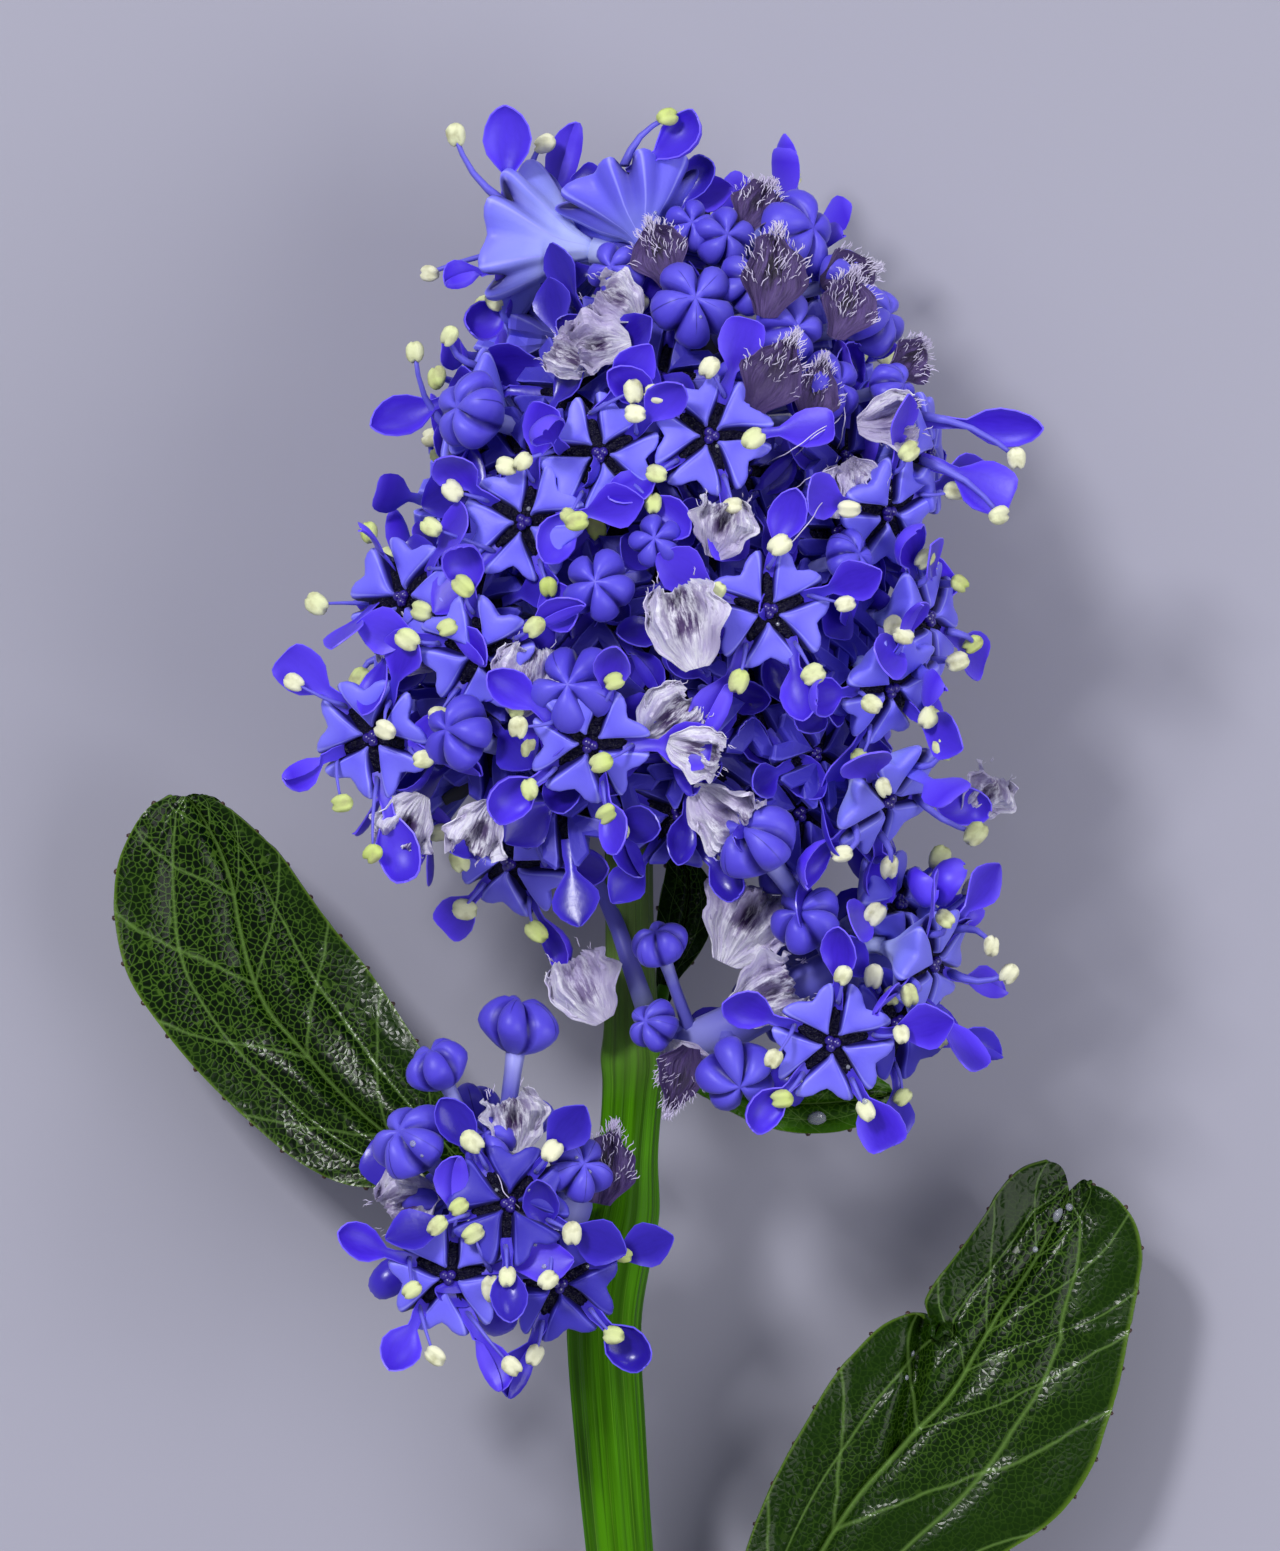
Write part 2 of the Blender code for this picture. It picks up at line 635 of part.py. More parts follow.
def build_head(home, look, shapes):
    """The big head: a core along its axis, and all that grows out of it, front and back."""
    dice = random.Random(SEED)
    repeats = bpy.data.collections.new("head repeats")
    points = [spot(*row[:3]) for row in HEAD_AXIS]
    axis = dense(points)
    core = tube(home, "flower_head", points, [row[5] * MM for row in HEAD_AXIS], CORE_SIDES)

    def carry(shape, place, facing, turn, size):
        plant(repeats, shape, aim(place, facing, turn, size), nearest_on(axis, place))

    for across, down, facing, turn in HEAD_FLOWERS.values():
        carry(shapes[kind_of(facing)], spot(across, down, head_height(across, down)), facing, turn, 1.0)
    for across, down, size in HEAD_BUDS.values():
        height = head_height(across, down)
        carry(shapes["bud"], spot(across, down, height), outward(across, down, height), 0.0, size)
    for across, down, turn, size in HEAD_BRACTS.values():
        height = head_height(across, down) - BRACT_SINK
        place = spot(across, down, height)
        stand = aim(place, outward(across, down, height), turn, size)
        root_bract(repeats, shapes["bract"], stand, nearest_on(axis, place))
    for down, flowers, buds in BACK_ROWS:
        middle, _, axis_height, half_width, half_depth, _ = along_axis(HEAD_AXIS, down)
        kinds = ["back"] * flowers + ["bud"] * buds
        dice.shuffle(kinds)
        for i, kind in enumerate(kinds):
            place_in_row = (i + dice.uniform(*BACK_PLACE)) / len(kinds)
            angle = BACK_ARC[0] + (BACK_ARC[1] - BACK_ARC[0]) * place_in_row
            across = middle + BLOOM_SHARE * half_width * math.cos(angle) * MM / PIXEL
            height = max(axis_height + BLOOM_SHARE * half_depth * math.sin(angle), LOW_CLEARANCE)
            place = spot(across, down + dice.uniform(-BACK_SHIFT, BACK_SHIFT), height)
            facing = Vector((math.cos(angle), BACK_LEAN, math.sin(angle) * BACK_DIP))
            turn = dice.uniform(0.0, math.degrees(LOBE_TURN))
            carry(shapes[kind], place, facing, turn, dice.uniform(*BACK_SIZES))
    for across, down, height in REST_BUDS.values():
        carry(shapes["bud"], spot(across, down, height), (0.0, 0.0, -1.0), 0.0, REST_BUD_SIZE)
    head = fuse("flower_head", core, repeats, home, look)
    press_flat(head)
    return head


def press_flat(node):
    """Cuts off what reaches below the surface, so that the lowest buds rest on flat spots."""
    slab = bpy.data.meshes.new("slab")
    shape = bmesh.new()
    bmesh.ops.create_cube(shape, size=SLAB)
    shape.to_mesh(slab)
    shape.free()
    cutters = bpy.data.collections.new("cutters")
    cutter = put(cutters, slab, Matrix.Translation((0.0, 0.0, -SLAB / 2)))
    bpy.context.scene.collection.children.link(cutters)
    cut = node.modifiers.new("press", "BOOLEAN")
    cut.operation = "DIFFERENCE"
    cut.object = cutter
    cut.solver = "MANIFOLD"
    pressed = evaluated_mesh(node)
    node.modifiers.clear()
    node.data = pressed
    bpy.data.objects.remove(cutter)
    bpy.data.collections.remove(cutters)


def build_cluster(name, cluster, home, look, shapes):
    """A side cluster: a short twig, and the flowers, buds and bracts that grow out of it."""
    repeats = bpy.data.collections.new(name + " repeats")
    points = [spot(*row) for row in cluster["axis"]]
    axis = dense(points)
    core = tube(home, name, points, [cluster["core"] * MM * share for share in CORE_TAPER], TWIG_SIDES)
    for across, down, height, facing, turn in cluster["flowers"].values():
        place = spot(across, down, height)
        plant(repeats, shapes[kind_of(facing)], aim(place, facing, turn), nearest_on(axis, place))
    for across, down, height, size in cluster["buds"].values():
        place = spot(across, down, height)
        root = nearest_on(axis, place)
        plant(repeats, shapes["bud"], aim(place, place - root, 0.0, size), root)
    for across, down, height, turn, size in cluster["bracts"].values():
        place = spot(across, down, height)
        stand = aim(place, BRACT_FACING, turn, size)
        root_bract(repeats, shapes["bract"], stand, nearest_on(axis, place))
    if "hanging" in cluster:
        across, down, height, facing, turn = cluster["hanging"]
        place = spot(across, down, height)
        bend = spot(*HANGING_BEND)
        plant(repeats, shapes["upright"], aim(place, facing, turn), bend)
        start = points[0].lerp(points[1], LONG_PEDICEL_ROOT)
        way = (start, bend, bend.lerp(place, LONG_PEDICEL_END))
        tube(repeats, "long pedicel", way, (LONG_PEDICEL_RADIUS * MM,) * len(way), 0)
    return fuse(name, core, repeats, home, look)


def build_stem(home, look):
    """The ridged stem: a ridged outline swept along its path as a curve's bevel."""
    outline = bpy.data.curves.new("stem outline", "CURVE")
    outline.dimensions = "2D"
    ring = outline.splines.new("POLY")
    ring.points.add(2 * STEM_RIDGES - 1)
    for i, knot in enumerate(ring.points):
        angle = math.pi * i / STEM_RIDGES
        radius = 1.0 - (RIDGE_DEPTH if i % 2 else 0.0)
        knot.co = (radius * math.cos(angle), radius * math.sin(angle), 0.0, 1.0)
    ring.use_cyclic_u = True
    section = bpy.data.objects.new("stem outline", outline)
    bpy.context.scene.collection.objects.link(section)
    path = path_curve("stem", [spot(*row[:3]) for row in STEM_PATH], [row[3] * MM for row in STEM_PATH])
    path.bevel_mode = "OBJECT"
    path.bevel_object = section
    stem = skinned(home, path)
    bpy.data.objects.remove(section)
    stem.data.materials.clear()
    stem.data.materials.append(look)
    press_flat(stem)
    return stem


def smooth_row(rows, share):
    """A value set along a row of evenly counted ones, eased between its neighbours."""
    where = share * (len(rows) - 1)
    low = min(int(where), len(rows) - 2)
    part = where - low
    if isinstance(rows[0], tuple):
        return tuple(a + (b - a) * part for a, b in zip(rows[low], rows[low + 1]))
    return rows[low] + (rows[low + 1] - rows[low]) * part


def build_leaf(name, leaf, home, look):
    """A toothed blade: a grid laid along the midrib, folded and puckered, then given its thickness."""
    stations = leaf["stations"]
    shape = bmesh.new()
    bmesh.ops.create_grid(shape, x_segments=stations, y_segments=LEAF_COLUMNS, size=0.5)
    for vert in shape.verts:
        share = vert.co.x + 0.5
        side = vert.co.y * 2
        here = spot(*smooth_row(leaf["midrib"], share))
        ahead = spot(*smooth_row(leaf["midrib"], min(share + MIDRIB_STEP, 1.0)))
        behind = spot(*smooth_row(leaf["midrib"], max(share - MIDRIB_STEP, 0.0)))
        along = (ahead - behind).normalized()
        across = Vector((-along.y, along.x, 0.0)).normalized()
        width = smooth_row(leaf["left"] if side > 0 else leaf["right"], share) * PIXEL
        station = round(share * stations)
        edge = abs(side) > 1.0 - 1.0 / LEAF_COLUMNS
        tooth = 1.0 - (TOOTH if edge and station % 2 else 0.0)
        rise = leaf["fold"] * abs(side) * min(1.0, width / FULL_WIDTH) * MM
        rise += PUCKER * MM * math.sin(math.pi * share * stations / 2) * min(1.0, abs(side) * 2)
        vert.co = here + across * side * width * tooth + Vector((0.0, 0.0, rise))
    bmesh.ops.triangulate(shape, faces=shape.faces)
    blade = bpy.data.meshes.new(name)
    shape.to_mesh(blade)
    shape.free()
    blade.materials.append(look)
    made = bpy.data.objects.new(name, blade)
    home.objects.link(made)
    thick = made.modifiers.new("thickness", "SOLIDIFY")
    thick.thickness = BLADE
    thick.offset = -1.0
    return made


def main():
    clear_scene()
    home = bpy.data.collections.new("california lilac flower cluster")
    bpy.context.scene.collection.children.link(home)
    blue = material("flower blue", FLOWER_BLUE, FLOWER_ROUGHNESS)
    stem_green = material("stem green", STEM_GREEN, STEM_ROUGHNESS)
    leaf_green = material("leaf green", LEAF_GREEN, LEAF_ROUGHNESS)
    shapes = {kind: flower_mesh(*lifts) for kind, lifts in FLOWER_LIFTS.items()}
    shapes["bud"] = bud_mesh()
    shapes["bract"] = bract_mesh()
    build_stem(home, stem_green)
    build_head(home, blue, shapes)
    for name, cluster in CLUSTERS.items():
        build_cluster(name, cluster, home, blue, shapes)
    for name, leaf in LEAVES.items():
        build_leaf(name, leaf, home, leaf_green)


main()
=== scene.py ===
"""A cut sprig of california lilac, lying on the buds at the back of its head and on its stem's cut end.

Metres. X runs across the sprig, Y along its stem towards the tip of the head, and Z up. A flower, a bud
or a scale is modelled once, in millimetres round its own root, and copied to its places.
"""
import json
import math
import random

import bmesh
import bpy
from mathutils import Matrix, Vector, noise

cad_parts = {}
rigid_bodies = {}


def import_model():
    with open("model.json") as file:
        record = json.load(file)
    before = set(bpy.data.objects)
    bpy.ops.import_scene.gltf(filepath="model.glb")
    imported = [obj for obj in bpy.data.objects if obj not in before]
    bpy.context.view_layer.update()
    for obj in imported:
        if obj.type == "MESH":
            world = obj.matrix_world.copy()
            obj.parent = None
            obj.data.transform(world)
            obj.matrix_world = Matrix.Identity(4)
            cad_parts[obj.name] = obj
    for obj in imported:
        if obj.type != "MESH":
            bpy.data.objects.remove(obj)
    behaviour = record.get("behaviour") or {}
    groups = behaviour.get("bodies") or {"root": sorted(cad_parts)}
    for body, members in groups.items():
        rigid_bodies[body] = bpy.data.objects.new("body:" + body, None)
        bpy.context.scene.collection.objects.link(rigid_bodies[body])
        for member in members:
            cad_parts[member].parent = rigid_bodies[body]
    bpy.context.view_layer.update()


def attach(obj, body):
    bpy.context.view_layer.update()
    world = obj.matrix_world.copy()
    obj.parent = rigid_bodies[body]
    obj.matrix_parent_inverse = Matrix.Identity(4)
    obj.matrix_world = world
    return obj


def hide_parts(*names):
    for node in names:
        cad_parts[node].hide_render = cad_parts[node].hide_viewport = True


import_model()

# The camera looks straight down on the sprig where it lies, as the photograph looks at it from the
# front. It stands far off with a long lens, so that what is higher is hardly drawn any larger.
MM = 0.001
PHOTO_HEIGHT = 1551                 # of the photograph, in pixels
PIXEL = 0.025 * MM                  # the size of one on the sprig
FRAME_MIDDLE = (640.0, 775.5)
REST_PIXEL = (640.0, 760.0)         # the pixel that shows the sprig straight above the origin
CAMERA_HEIGHT = 1.0
SENSOR = 36.0


def spot(across, down, height):
    """The place on the sprig of a pixel of the photograph, at a height in mm."""
    return Vector(((across - REST_PIXEL[0]) * PIXEL, (REST_PIXEL[1] - down) * PIXEL, height * MM))


eye = bpy.data.cameras.new("camera")
eye.sensor_width = SENSOR
eye.lens = SENSOR * CAMERA_HEIGHT / (PHOTO_HEIGHT * PIXEL)
eye.clip_start = 0.01
camera = bpy.data.objects.new("camera", eye)
bpy.context.scene.collection.objects.link(camera)
camera.location = spot(*FRAME_MIDDLE, CAMERA_HEIGHT / MM)
bpy.context.scene.camera = camera
bpy.context.scene.view_settings.view_transform = "Standard"

# The floor is a plain pale lilac-grey sheet, and the light comes from soft boxes: a large one up on
# the left with a small bright one in it, a weaker one on the right and one behind the tip, and an even
# light all round.
FLOOR_SIZE = 2.0
FLOOR_COLOURS = ((0.300, 0.296, 0.362), (0.290, 0.287, 0.352))
SOFT_BOXES = (
    # name, place, size, power in watts
    ("key", (-0.20, 0.22, 0.44), 0.36, 0.50),
    ("glint", (-0.20, 0.22, 0.44), 0.08, 1.85),
    ("fill", (0.32, -0.06, 0.38), 0.34, 1.35),
    ("back", (0.10, 0.45, 0.20), 0.14, 0.4),
)
ROOM_LIGHT = (0.84, 0.86, 1.0, 1.0)
ROOM_STRENGTH = 0.38


def begin():
    """Nothing is selected, so that an operator acts on the new piece alone."""
    if bpy.context.mode != "OBJECT":
        bpy.ops.object.mode_set(mode="OBJECT")
    bpy.ops.object.select_all(action="DESELECT")


def new_material(name, roughness, **settings):
    """A Principled material: its node tree, its shader and the material itself."""
    made = bpy.data.materials.new(name)
    made.use_nodes = True
    shader = made.node_tree.nodes["Principled BSDF"]
    shader.inputs["Roughness"].default_value = roughness
    for key, value in settings.items():
        shader.inputs[key.replace("_", " ")].default_value = value
    return made.node_tree, shader, made


def noise_of(tree, coordinates, scale, detail=3.0, roughness=0.5):
    """Noise over the given coordinates."""
    made = tree.nodes.new("ShaderNodeTexNoise")
    made.inputs["Scale"].default_value = scale
    made.inputs["Detail"].default_value = detail
    made.inputs["Roughness"].default_value = roughness
    tree.links.new(coordinates, made.inputs["Vector"])
    return made.outputs["Fac"]


def ramp_of(tree, factor, *stops):
    """A colour for each stop of a factor."""
    made = tree.nodes.new("ShaderNodeValToRGB")
    points = made.color_ramp.elements
    while len(points) < len(stops):
        points.new(0.5)
    for point, (where, colour) in zip(points, stops):
        point.position = where
        point.color = (*colour, 1.0) if len(colour) == 3 else colour
    tree.links.new(factor, made.inputs["Fac"])
    return made.outputs["Color"]


def blend_of(tree, factor, first, second, kind="MIX"):
    """Two colours mixed, where each may be a colour or another node's."""
    made = tree.nodes.new("ShaderNodeMix")
    made.data_type = "RGBA"
    made.blend_type = kind
    for socket, value in ((made.inputs[0], factor), (made.inputs[6], first), (made.inputs[7], second)):
        if isinstance(value, bpy.types.NodeSocket):
            tree.links.new(value, socket)
        elif isinstance(value, float):
            socket.default_value = value
        else:
            socket.default_value = (*value, 1.0)
    return made.outputs[2]


def bump_of(tree, shader, height, strength, depth):
    """Relief too fine for the mesh, depth in metres."""
    made = tree.nodes.new("ShaderNodeBump")
    made.inputs["Strength"].default_value = strength
    made.inputs["Distance"].default_value = depth
    tree.links.new(height, made.inputs["Height"])
    tree.links.new(made.outputs["Normal"], shader.inputs["Normal"])


def coordinates_of(tree, kind="Object"):
    return tree.nodes.new("ShaderNodeTexCoord").outputs[kind]


begin()
bpy.ops.mesh.primitive_grid_add(x_subdivisions=8, y_subdivisions=8, size=FLOOR_SIZE)
floor = bpy.context.object
floor.name = "floor"
tree, shader, floor_paper = new_material("floor paper", 0.85)
paper = noise_of(tree, coordinates_of(tree), 40.0)
tree.links.new(blend_of(tree, paper, *FLOOR_COLOURS), shader.inputs["Base Color"])
floor.data.materials.append(floor_paper)
for name, place, size, power in SOFT_BOXES:
    box = bpy.data.lights.new(name, "AREA")
    box.size = size
    box.energy = power
    lamp = bpy.data.objects.new(name, box)
    bpy.context.scene.collection.objects.link(lamp)
    lamp.location = place
    lamp.rotation_euler = (-Vector(place)).to_track_quat("-Z", "Y").to_euler()
room = bpy.data.worlds.new("room")
room.use_nodes = True
room.node_tree.nodes["Background"].inputs["Color"].default_value = ROOM_LIGHT
room.node_tree.nodes["Background"].inputs["Strength"].default_value = ROOM_STRENGTH
bpy.context.scene.world = room

# The stem is a green shoot of one season, still soft: ridged along its length, swollen where a leaf
# or a side cluster leaves it, cut off below and dark olive where it goes up into the head.
STEM_PATH = (
    # across, down, height and radius in mm
    (648, 1862, 0.78, 0.84), (640, 1760, 1.65, 0.84), (630, 1650, 2.55, 0.85), (619, 1551, 3.30, 0.86),
    (609, 1430, 4.15, 0.92), (603, 1322, 4.85, 0.96), (612, 1245, 5.30, 1.02), (620, 1205, 5.50, 1.00),
    (627, 1150, 5.75, 0.78), (632, 1090, 6.00, 0.78), (634, 1055, 6.15, 0.88), (631, 1015, 6.30, 0.70),
    (629, 930, 6.60, 0.62), (628, 812, 7.00, 0.62),
)
STEM_RIDGES = 9
RIDGE_DEPTH = 0.10
RIDGE_POINTS = 6                    # of the outline, for each ridge
PATH_STEPS = 6                      # between the path's own points
STEM_DARK = (0.018, 0.070, 0.001)
STEM_GREEN = (0.056, 0.205, 0.003)
STEM_LINE = (0.165, 0.400, 0.020)
STEM_PALE = (0.230, 0.330, 0.100)       # above the upper node
STEM_OLIVE = (0.028, 0.036, 0.010)      # where it goes up into the head
STEM_FROM, STEM_TO = -0.0278, -0.0010   # down and up, in metres, over which the colours change


def eased(rows, share):
    """The values along a list of rows, on a smooth curve through them."""
    where = share * (len(rows) - 1)
    i = min(int(where), len(rows) - 2)
    t = where - i
    before, low, high, after = rows[max(i - 1, 0)], rows[i], rows[i + 1], rows[min(i + 2, len(rows) - 1)]
    return tuple(
        0.5 * (2 * b + (c - a) * t + (2 * a - 5 * b + 4 * c - d) * t * t + (3 * b - a - 3 * c + d) * t ** 3)
        for a, b, c, d in zip(before, low, high, after))


def whole_curve(rows, steps):
    """The rows of a smooth curve through the given ones."""
    count = (len(rows) - 1) * steps
    return [eased(rows, i / count) for i in range(count + 1)]


def tube(name, points, radii, sides=1, outline=None):
    """A stalk drawn through points, round or with an outline of its own, as a mesh."""
    curve = bpy.data.curves.new(name, "CURVE")
    curve.dimensions = "3D"
    curve.use_fill_caps = True
    if outline:
        curve.bevel_mode = "OBJECT"
        curve.bevel_object = outline
    else:
        curve.bevel_depth = 1.0
        curve.bevel_resolution = sides
    spline = curve.splines.new("POLY")
    spline.points.add(len(points) - 1)
    for knot, point, radius in zip(spline.points, points, radii):
        knot.co = (*point, 1.0)
        knot.radius = radius
    bent = bpy.data.objects.new(name, curve)
    bpy.context.scene.collection.objects.link(bent)
    begin()
    bent.select_set(True)
    bpy.context.view_layer.objects.active = bent
    bpy.ops.object.convert(target="MESH")
    bpy.ops.object.mode_set(mode="EDIT")
    bpy.ops.mesh.select_all(action="SELECT")
    bpy.ops.mesh.remove_doubles(threshold=0.000001)
    bpy.ops.mesh.normals_make_consistent(inside=False)
    bpy.ops.object.mode_set(mode="OBJECT")
    return bpy.context.object


def shade(piece, angle=40.0):
    """Smooth shading, with the sharp edges kept."""
    begin()
    piece.select_set(True)
    bpy.context.view_layer.objects.active = piece
    bpy.ops.object.shade_smooth_by_angle(angle=math.radians(angle))


def fixed(piece, look, slot, *nodes):
    """A finished piece: its material, the body it moves with, and the nodes it stands for."""
    piece.data.materials.clear()
    piece.data.materials.append(look)
    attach(piece, "root")
    if nodes:
        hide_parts(*nodes)


outline = bpy.data.curves.new("stem outline", "CURVE")
outline.dimensions = "2D"
ring = outline.splines.new("POLY")
ring.points.add(STEM_RIDGES * RIDGE_POINTS - 1)
for i, knot in enumerate(ring.points):
    angle = math.tau * i / (STEM_RIDGES * RIDGE_POINTS)
    hollow = 0.5 - 0.5 * math.cos(angle * STEM_RIDGES)
    radius = 1.0 - RIDGE_DEPTH * hollow ** 0.7
    knot.co = (radius * math.cos(angle), radius * math.sin(angle), 0.0, 1.0)
ring.use_cyclic_u = True
section = bpy.data.objects.new("stem outline", outline)
bpy.context.scene.collection.objects.link(section)
stem_rows = whole_curve(STEM_PATH, PATH_STEPS)
stem = tube("stem_shoot", [spot(*row[:3]) for row in stem_rows], [row[3] * MM for row in stem_rows],
            outline=section)
bpy.data.objects.remove(section)
shade(stem, 60.0)
mapping = stem.data.uv_layers.active or stem.data.uv_layers.new()
middles = [spot(*row[:3]) for row in stem_rows]
for corner in stem.data.loops:
    place = stem.data.vertices[corner.vertex_index].co
    above = next((i for i, middle in enumerate(middles) if middle.y > place.y), len(middles) - 1)
    low, high = middles[max(above - 1, 0)], middles[max(above, 1)]
    middle = low.lerp(high, (place.y - low.y) / (high.y - low.y))
    around = math.atan2(place.x - middle.x, place.z - middle.z) / math.tau
    mapping.data[corner.index].uv = (around, (place.y - STEM_FROM) / (STEM_TO - STEM_FROM))
tree, shader, stem_skin = new_material("stem skin", 0.30, Specular_IOR_Level=0.05)
place = coordinates_of(tree, "UV")
stretch = tree.nodes.new("ShaderNodeMapping")
stretch.inputs["Scale"].default_value = (58.0, 1.6, 1.0)
tree.links.new(place, stretch.inputs["Vector"])
streaks = noise_of(tree, stretch.outputs["Vector"], 1.0, 3.0, 0.6)
broad = tree.nodes.new("ShaderNodeMapping")
broad.inputs["Scale"].default_value = (17.0, 2.6, 1.0)
tree.links.new(place, broad.inputs["Vector"])
bands = noise_of(tree, broad.outputs["Vector"], 1.0, 2.0, 0.5)
green = ramp_of(tree, streaks, (0.30, STEM_DARK), (0.46, STEM_GREEN), (0.60, STEM_GREEN), (0.68, STEM_LINE))
shaded = ramp_of(tree, bands, (0.36, (0.42, 0.42, 0.42)), (0.58, (1.0, 1.0, 1.0)))
green = blend_of(tree, 1.0, green, shaded, "MULTIPLY")
way_up = tree.nodes.new("ShaderNodeSeparateXYZ")
tree.links.new(place, way_up.inputs["Vector"])
pale = ramp_of(tree, way_up.outputs["Y"], (0.72, (0.0, 0.0, 0.0)), (0.84, (0.55, 0.55, 0.55)))
olive = ramp_of(tree, way_up.outputs["Y"], (0.93, (0.0, 0.0, 0.0)), (0.985, (0.9, 0.9, 0.9)))
green = blend_of(tree, pale, green, STEM_PALE)
tree.links.new(blend_of(tree, olive, green, STEM_OLIVE), shader.inputs["Base Color"])
bump_of(tree, shader, streaks, 0.6, 0.00008)
fixed(stem, stem_skin, "stem", "stem")

# The leaves are thick, leathery blades with three main veins and a sunken net between them, glossy
# above, each on a short petiole at a node of the stem. Small dark glands sit on the margin's teeth.
LEAVES = {
    # from the petiole to the tip: the midrib across, down and its height in mm, then the left and the
    # right margin across and down; how high the sides fold up in mm; faces along it and across it
    "leaf_left": ((
        (588, 1200, 4.60, 586, 1206, 590, 1194), (525, 1191, 4.75, 524, 1198, 526, 1184),
        (474, 1176, 4.80, 462, 1190, 484, 1158), (425, 1155, 4.75, 398, 1186, 452, 1106),
        (381, 1127, 4.55, 346, 1182, 432, 1065), (340, 1090, 4.25, 297, 1158, 410, 1029),
        (300, 1045, 3.95, 248, 1117, 387, 994), (270, 1010, 3.75, 206, 1077, 361, 958),
        (252, 970, 3.65, 166, 1030, 335, 928), (241, 925, 3.65, 131, 977, 307, 890),
        (234, 885, 3.70, 117, 918, 282, 855), (222, 850, 3.75, 119, 868, 256, 830),
        (208, 823, 3.75, 134, 830, 236, 813), (196, 805, 3.75, 152, 806, 220, 802),
        (188, 796, 3.75, 174, 796, 203, 796)), 0.30, (150, 44)),
    "leaf_lower_right": ((
        (686, 1832, 1.50, 683, 1829, 690, 1835), (712, 1775, 1.80, 706, 1771, 719, 1780),
        (738, 1716, 2.00, 712, 1700, 772, 1735), (763, 1660, 2.20, 716, 1650, 838, 1688),
        (794, 1597, 2.45, 731, 1598, 908, 1622), (829, 1535, 2.65, 752, 1530, 990, 1560),
        (860, 1490, 2.80, 778, 1470, 1054, 1516), (892, 1455, 2.90, 806, 1420, 1089, 1468),
        (920, 1424, 2.95, 832, 1377, 1105, 1423), (942, 1402, 3.00, 858, 1346, 1115, 1392),
        (958, 1380, 3.00, 884, 1322, 1122, 1360), (970, 1358, 3.00, 914, 1312, 1127, 1332),
        (976, 1347, 3.00, 930, 1325, 1130, 1320), (983, 1336, 3.00, 925, 1300, 1132, 1308),
        (1000, 1308, 3.00, 941, 1272, 1137, 1281), (1020, 1280, 3.00, 963, 1243, 1140, 1252),
        (1036, 1255, 2.95, 985, 1212, 1134, 1223), (1050, 1230, 2.90, 1001, 1186, 1121, 1203),
        (1060, 1209, 2.85, 1022, 1167, 1104, 1188), (1068, 1190, 2.80, 1046, 1160, 1087, 1183)),
        0.45, (180, 52)),
    "leaf_under_cluster": ((
        (682, 1078, 5.60, 681, 1074, 683, 1082), (720, 1090, 5.50, 724, 1078, 716, 1102),
        (760, 1098, 5.40, 764, 1070, 757, 1122), (800, 1102, 5.30, 802, 1066, 798, 1131),
        (840, 1100, 5.25, 838, 1066, 842, 1129), (872, 1096, 5.20, 866, 1070, 879, 1113),
        (893, 1092, 5.10, 888, 1083, 897, 1097)), 0.20, (60, 18)),
    "leaf_behind_stem": ((
        (652, 1022, 4.60, 648, 1021, 656, 1023), (664, 985, 4.30, 656, 982, 672, 988),
        (682, 930, 4.00, 656, 924, 708, 936), (688, 880, 3.80, 664, 878, 710, 882),
        (674, 845, 3.60, 670, 846, 678, 844)), 0.15, (50, 18)),
}
BLADE = 0.34 * MM
EDGE_SHARE = 0.22                   # of that thickness at the margin, growing inwards
EDGE_TAPER = 0.35
VEIN_DEPTH = 0.15                   # of the grooves over the three main veins, in mm
SIDE_VEIN_DEPTH = 0.032
SIDE_VEINS = 7.0
SIDE_VEIN_SLANT = 1.2
VEIN_WAYS = ((0.0, 0.10), (0.20, 0.45), (0.60, 0.56), (0.90, 0.40), (1.0, 0.10))    # share along, side
FOLD_GROOVE = ((922, 1318), (914, 1378), (905, 1412), (896, 1452))    # behind the folded lobe, in pixels
FOLD_DEPTH = 0.50
FOLD_WIDTH = 9.0                    # in pixels
TIP_ROUND = 9.0                     # how far the halves of the notched tip bulge, in pixels
GLAND_SPACING = 1.05                # along the margin, in mm
GLAND_RADIUS = 0.075
LEAF_CELL = (0.0010, 0.0045, 0.0003)
LEAF_GREEN = (0.0066, 0.0240, 0.0006)
LEAF_NET = (0.0430, 0.0900, 0.0100)
LEAF_RIB = (0.1150, 0.2100, 0.0450)
LEAF_RIM = (0.0900, 0.1700, 0.0150)
WET_GREEN = (0.0350, 0.1250, 0.0020)    # of the leaf under the right cluster
CELL_SCALE = 6000.0                 # cells of the net in a metre


def groove(distance, width):
    """How deep a groove is at a distance from its middle."""
    return math.exp(-(distance / width) ** 2)


def between(stops, share):
    """A value read between the stops of a list."""
    for (low, first), (high, second) in zip(stops, stops[1:]):
        if share <= high:
            return first + (second - first) * (share - low) / (high - low)
    return stops[-1][1]


def off_line(point, line):
    """The distance of a pixel from a line of pixels."""
    nearest = []
    for start, end in zip(line, line[1:]):
        start, end, here = Vector(start), Vector(end), Vector(point)
        share = (here - start).dot(end - start) / (end - start).length_squared
        nearest.append((here - start.lerp(end, min(1.0, max(0.0, share)))).length)
    return min(nearest)


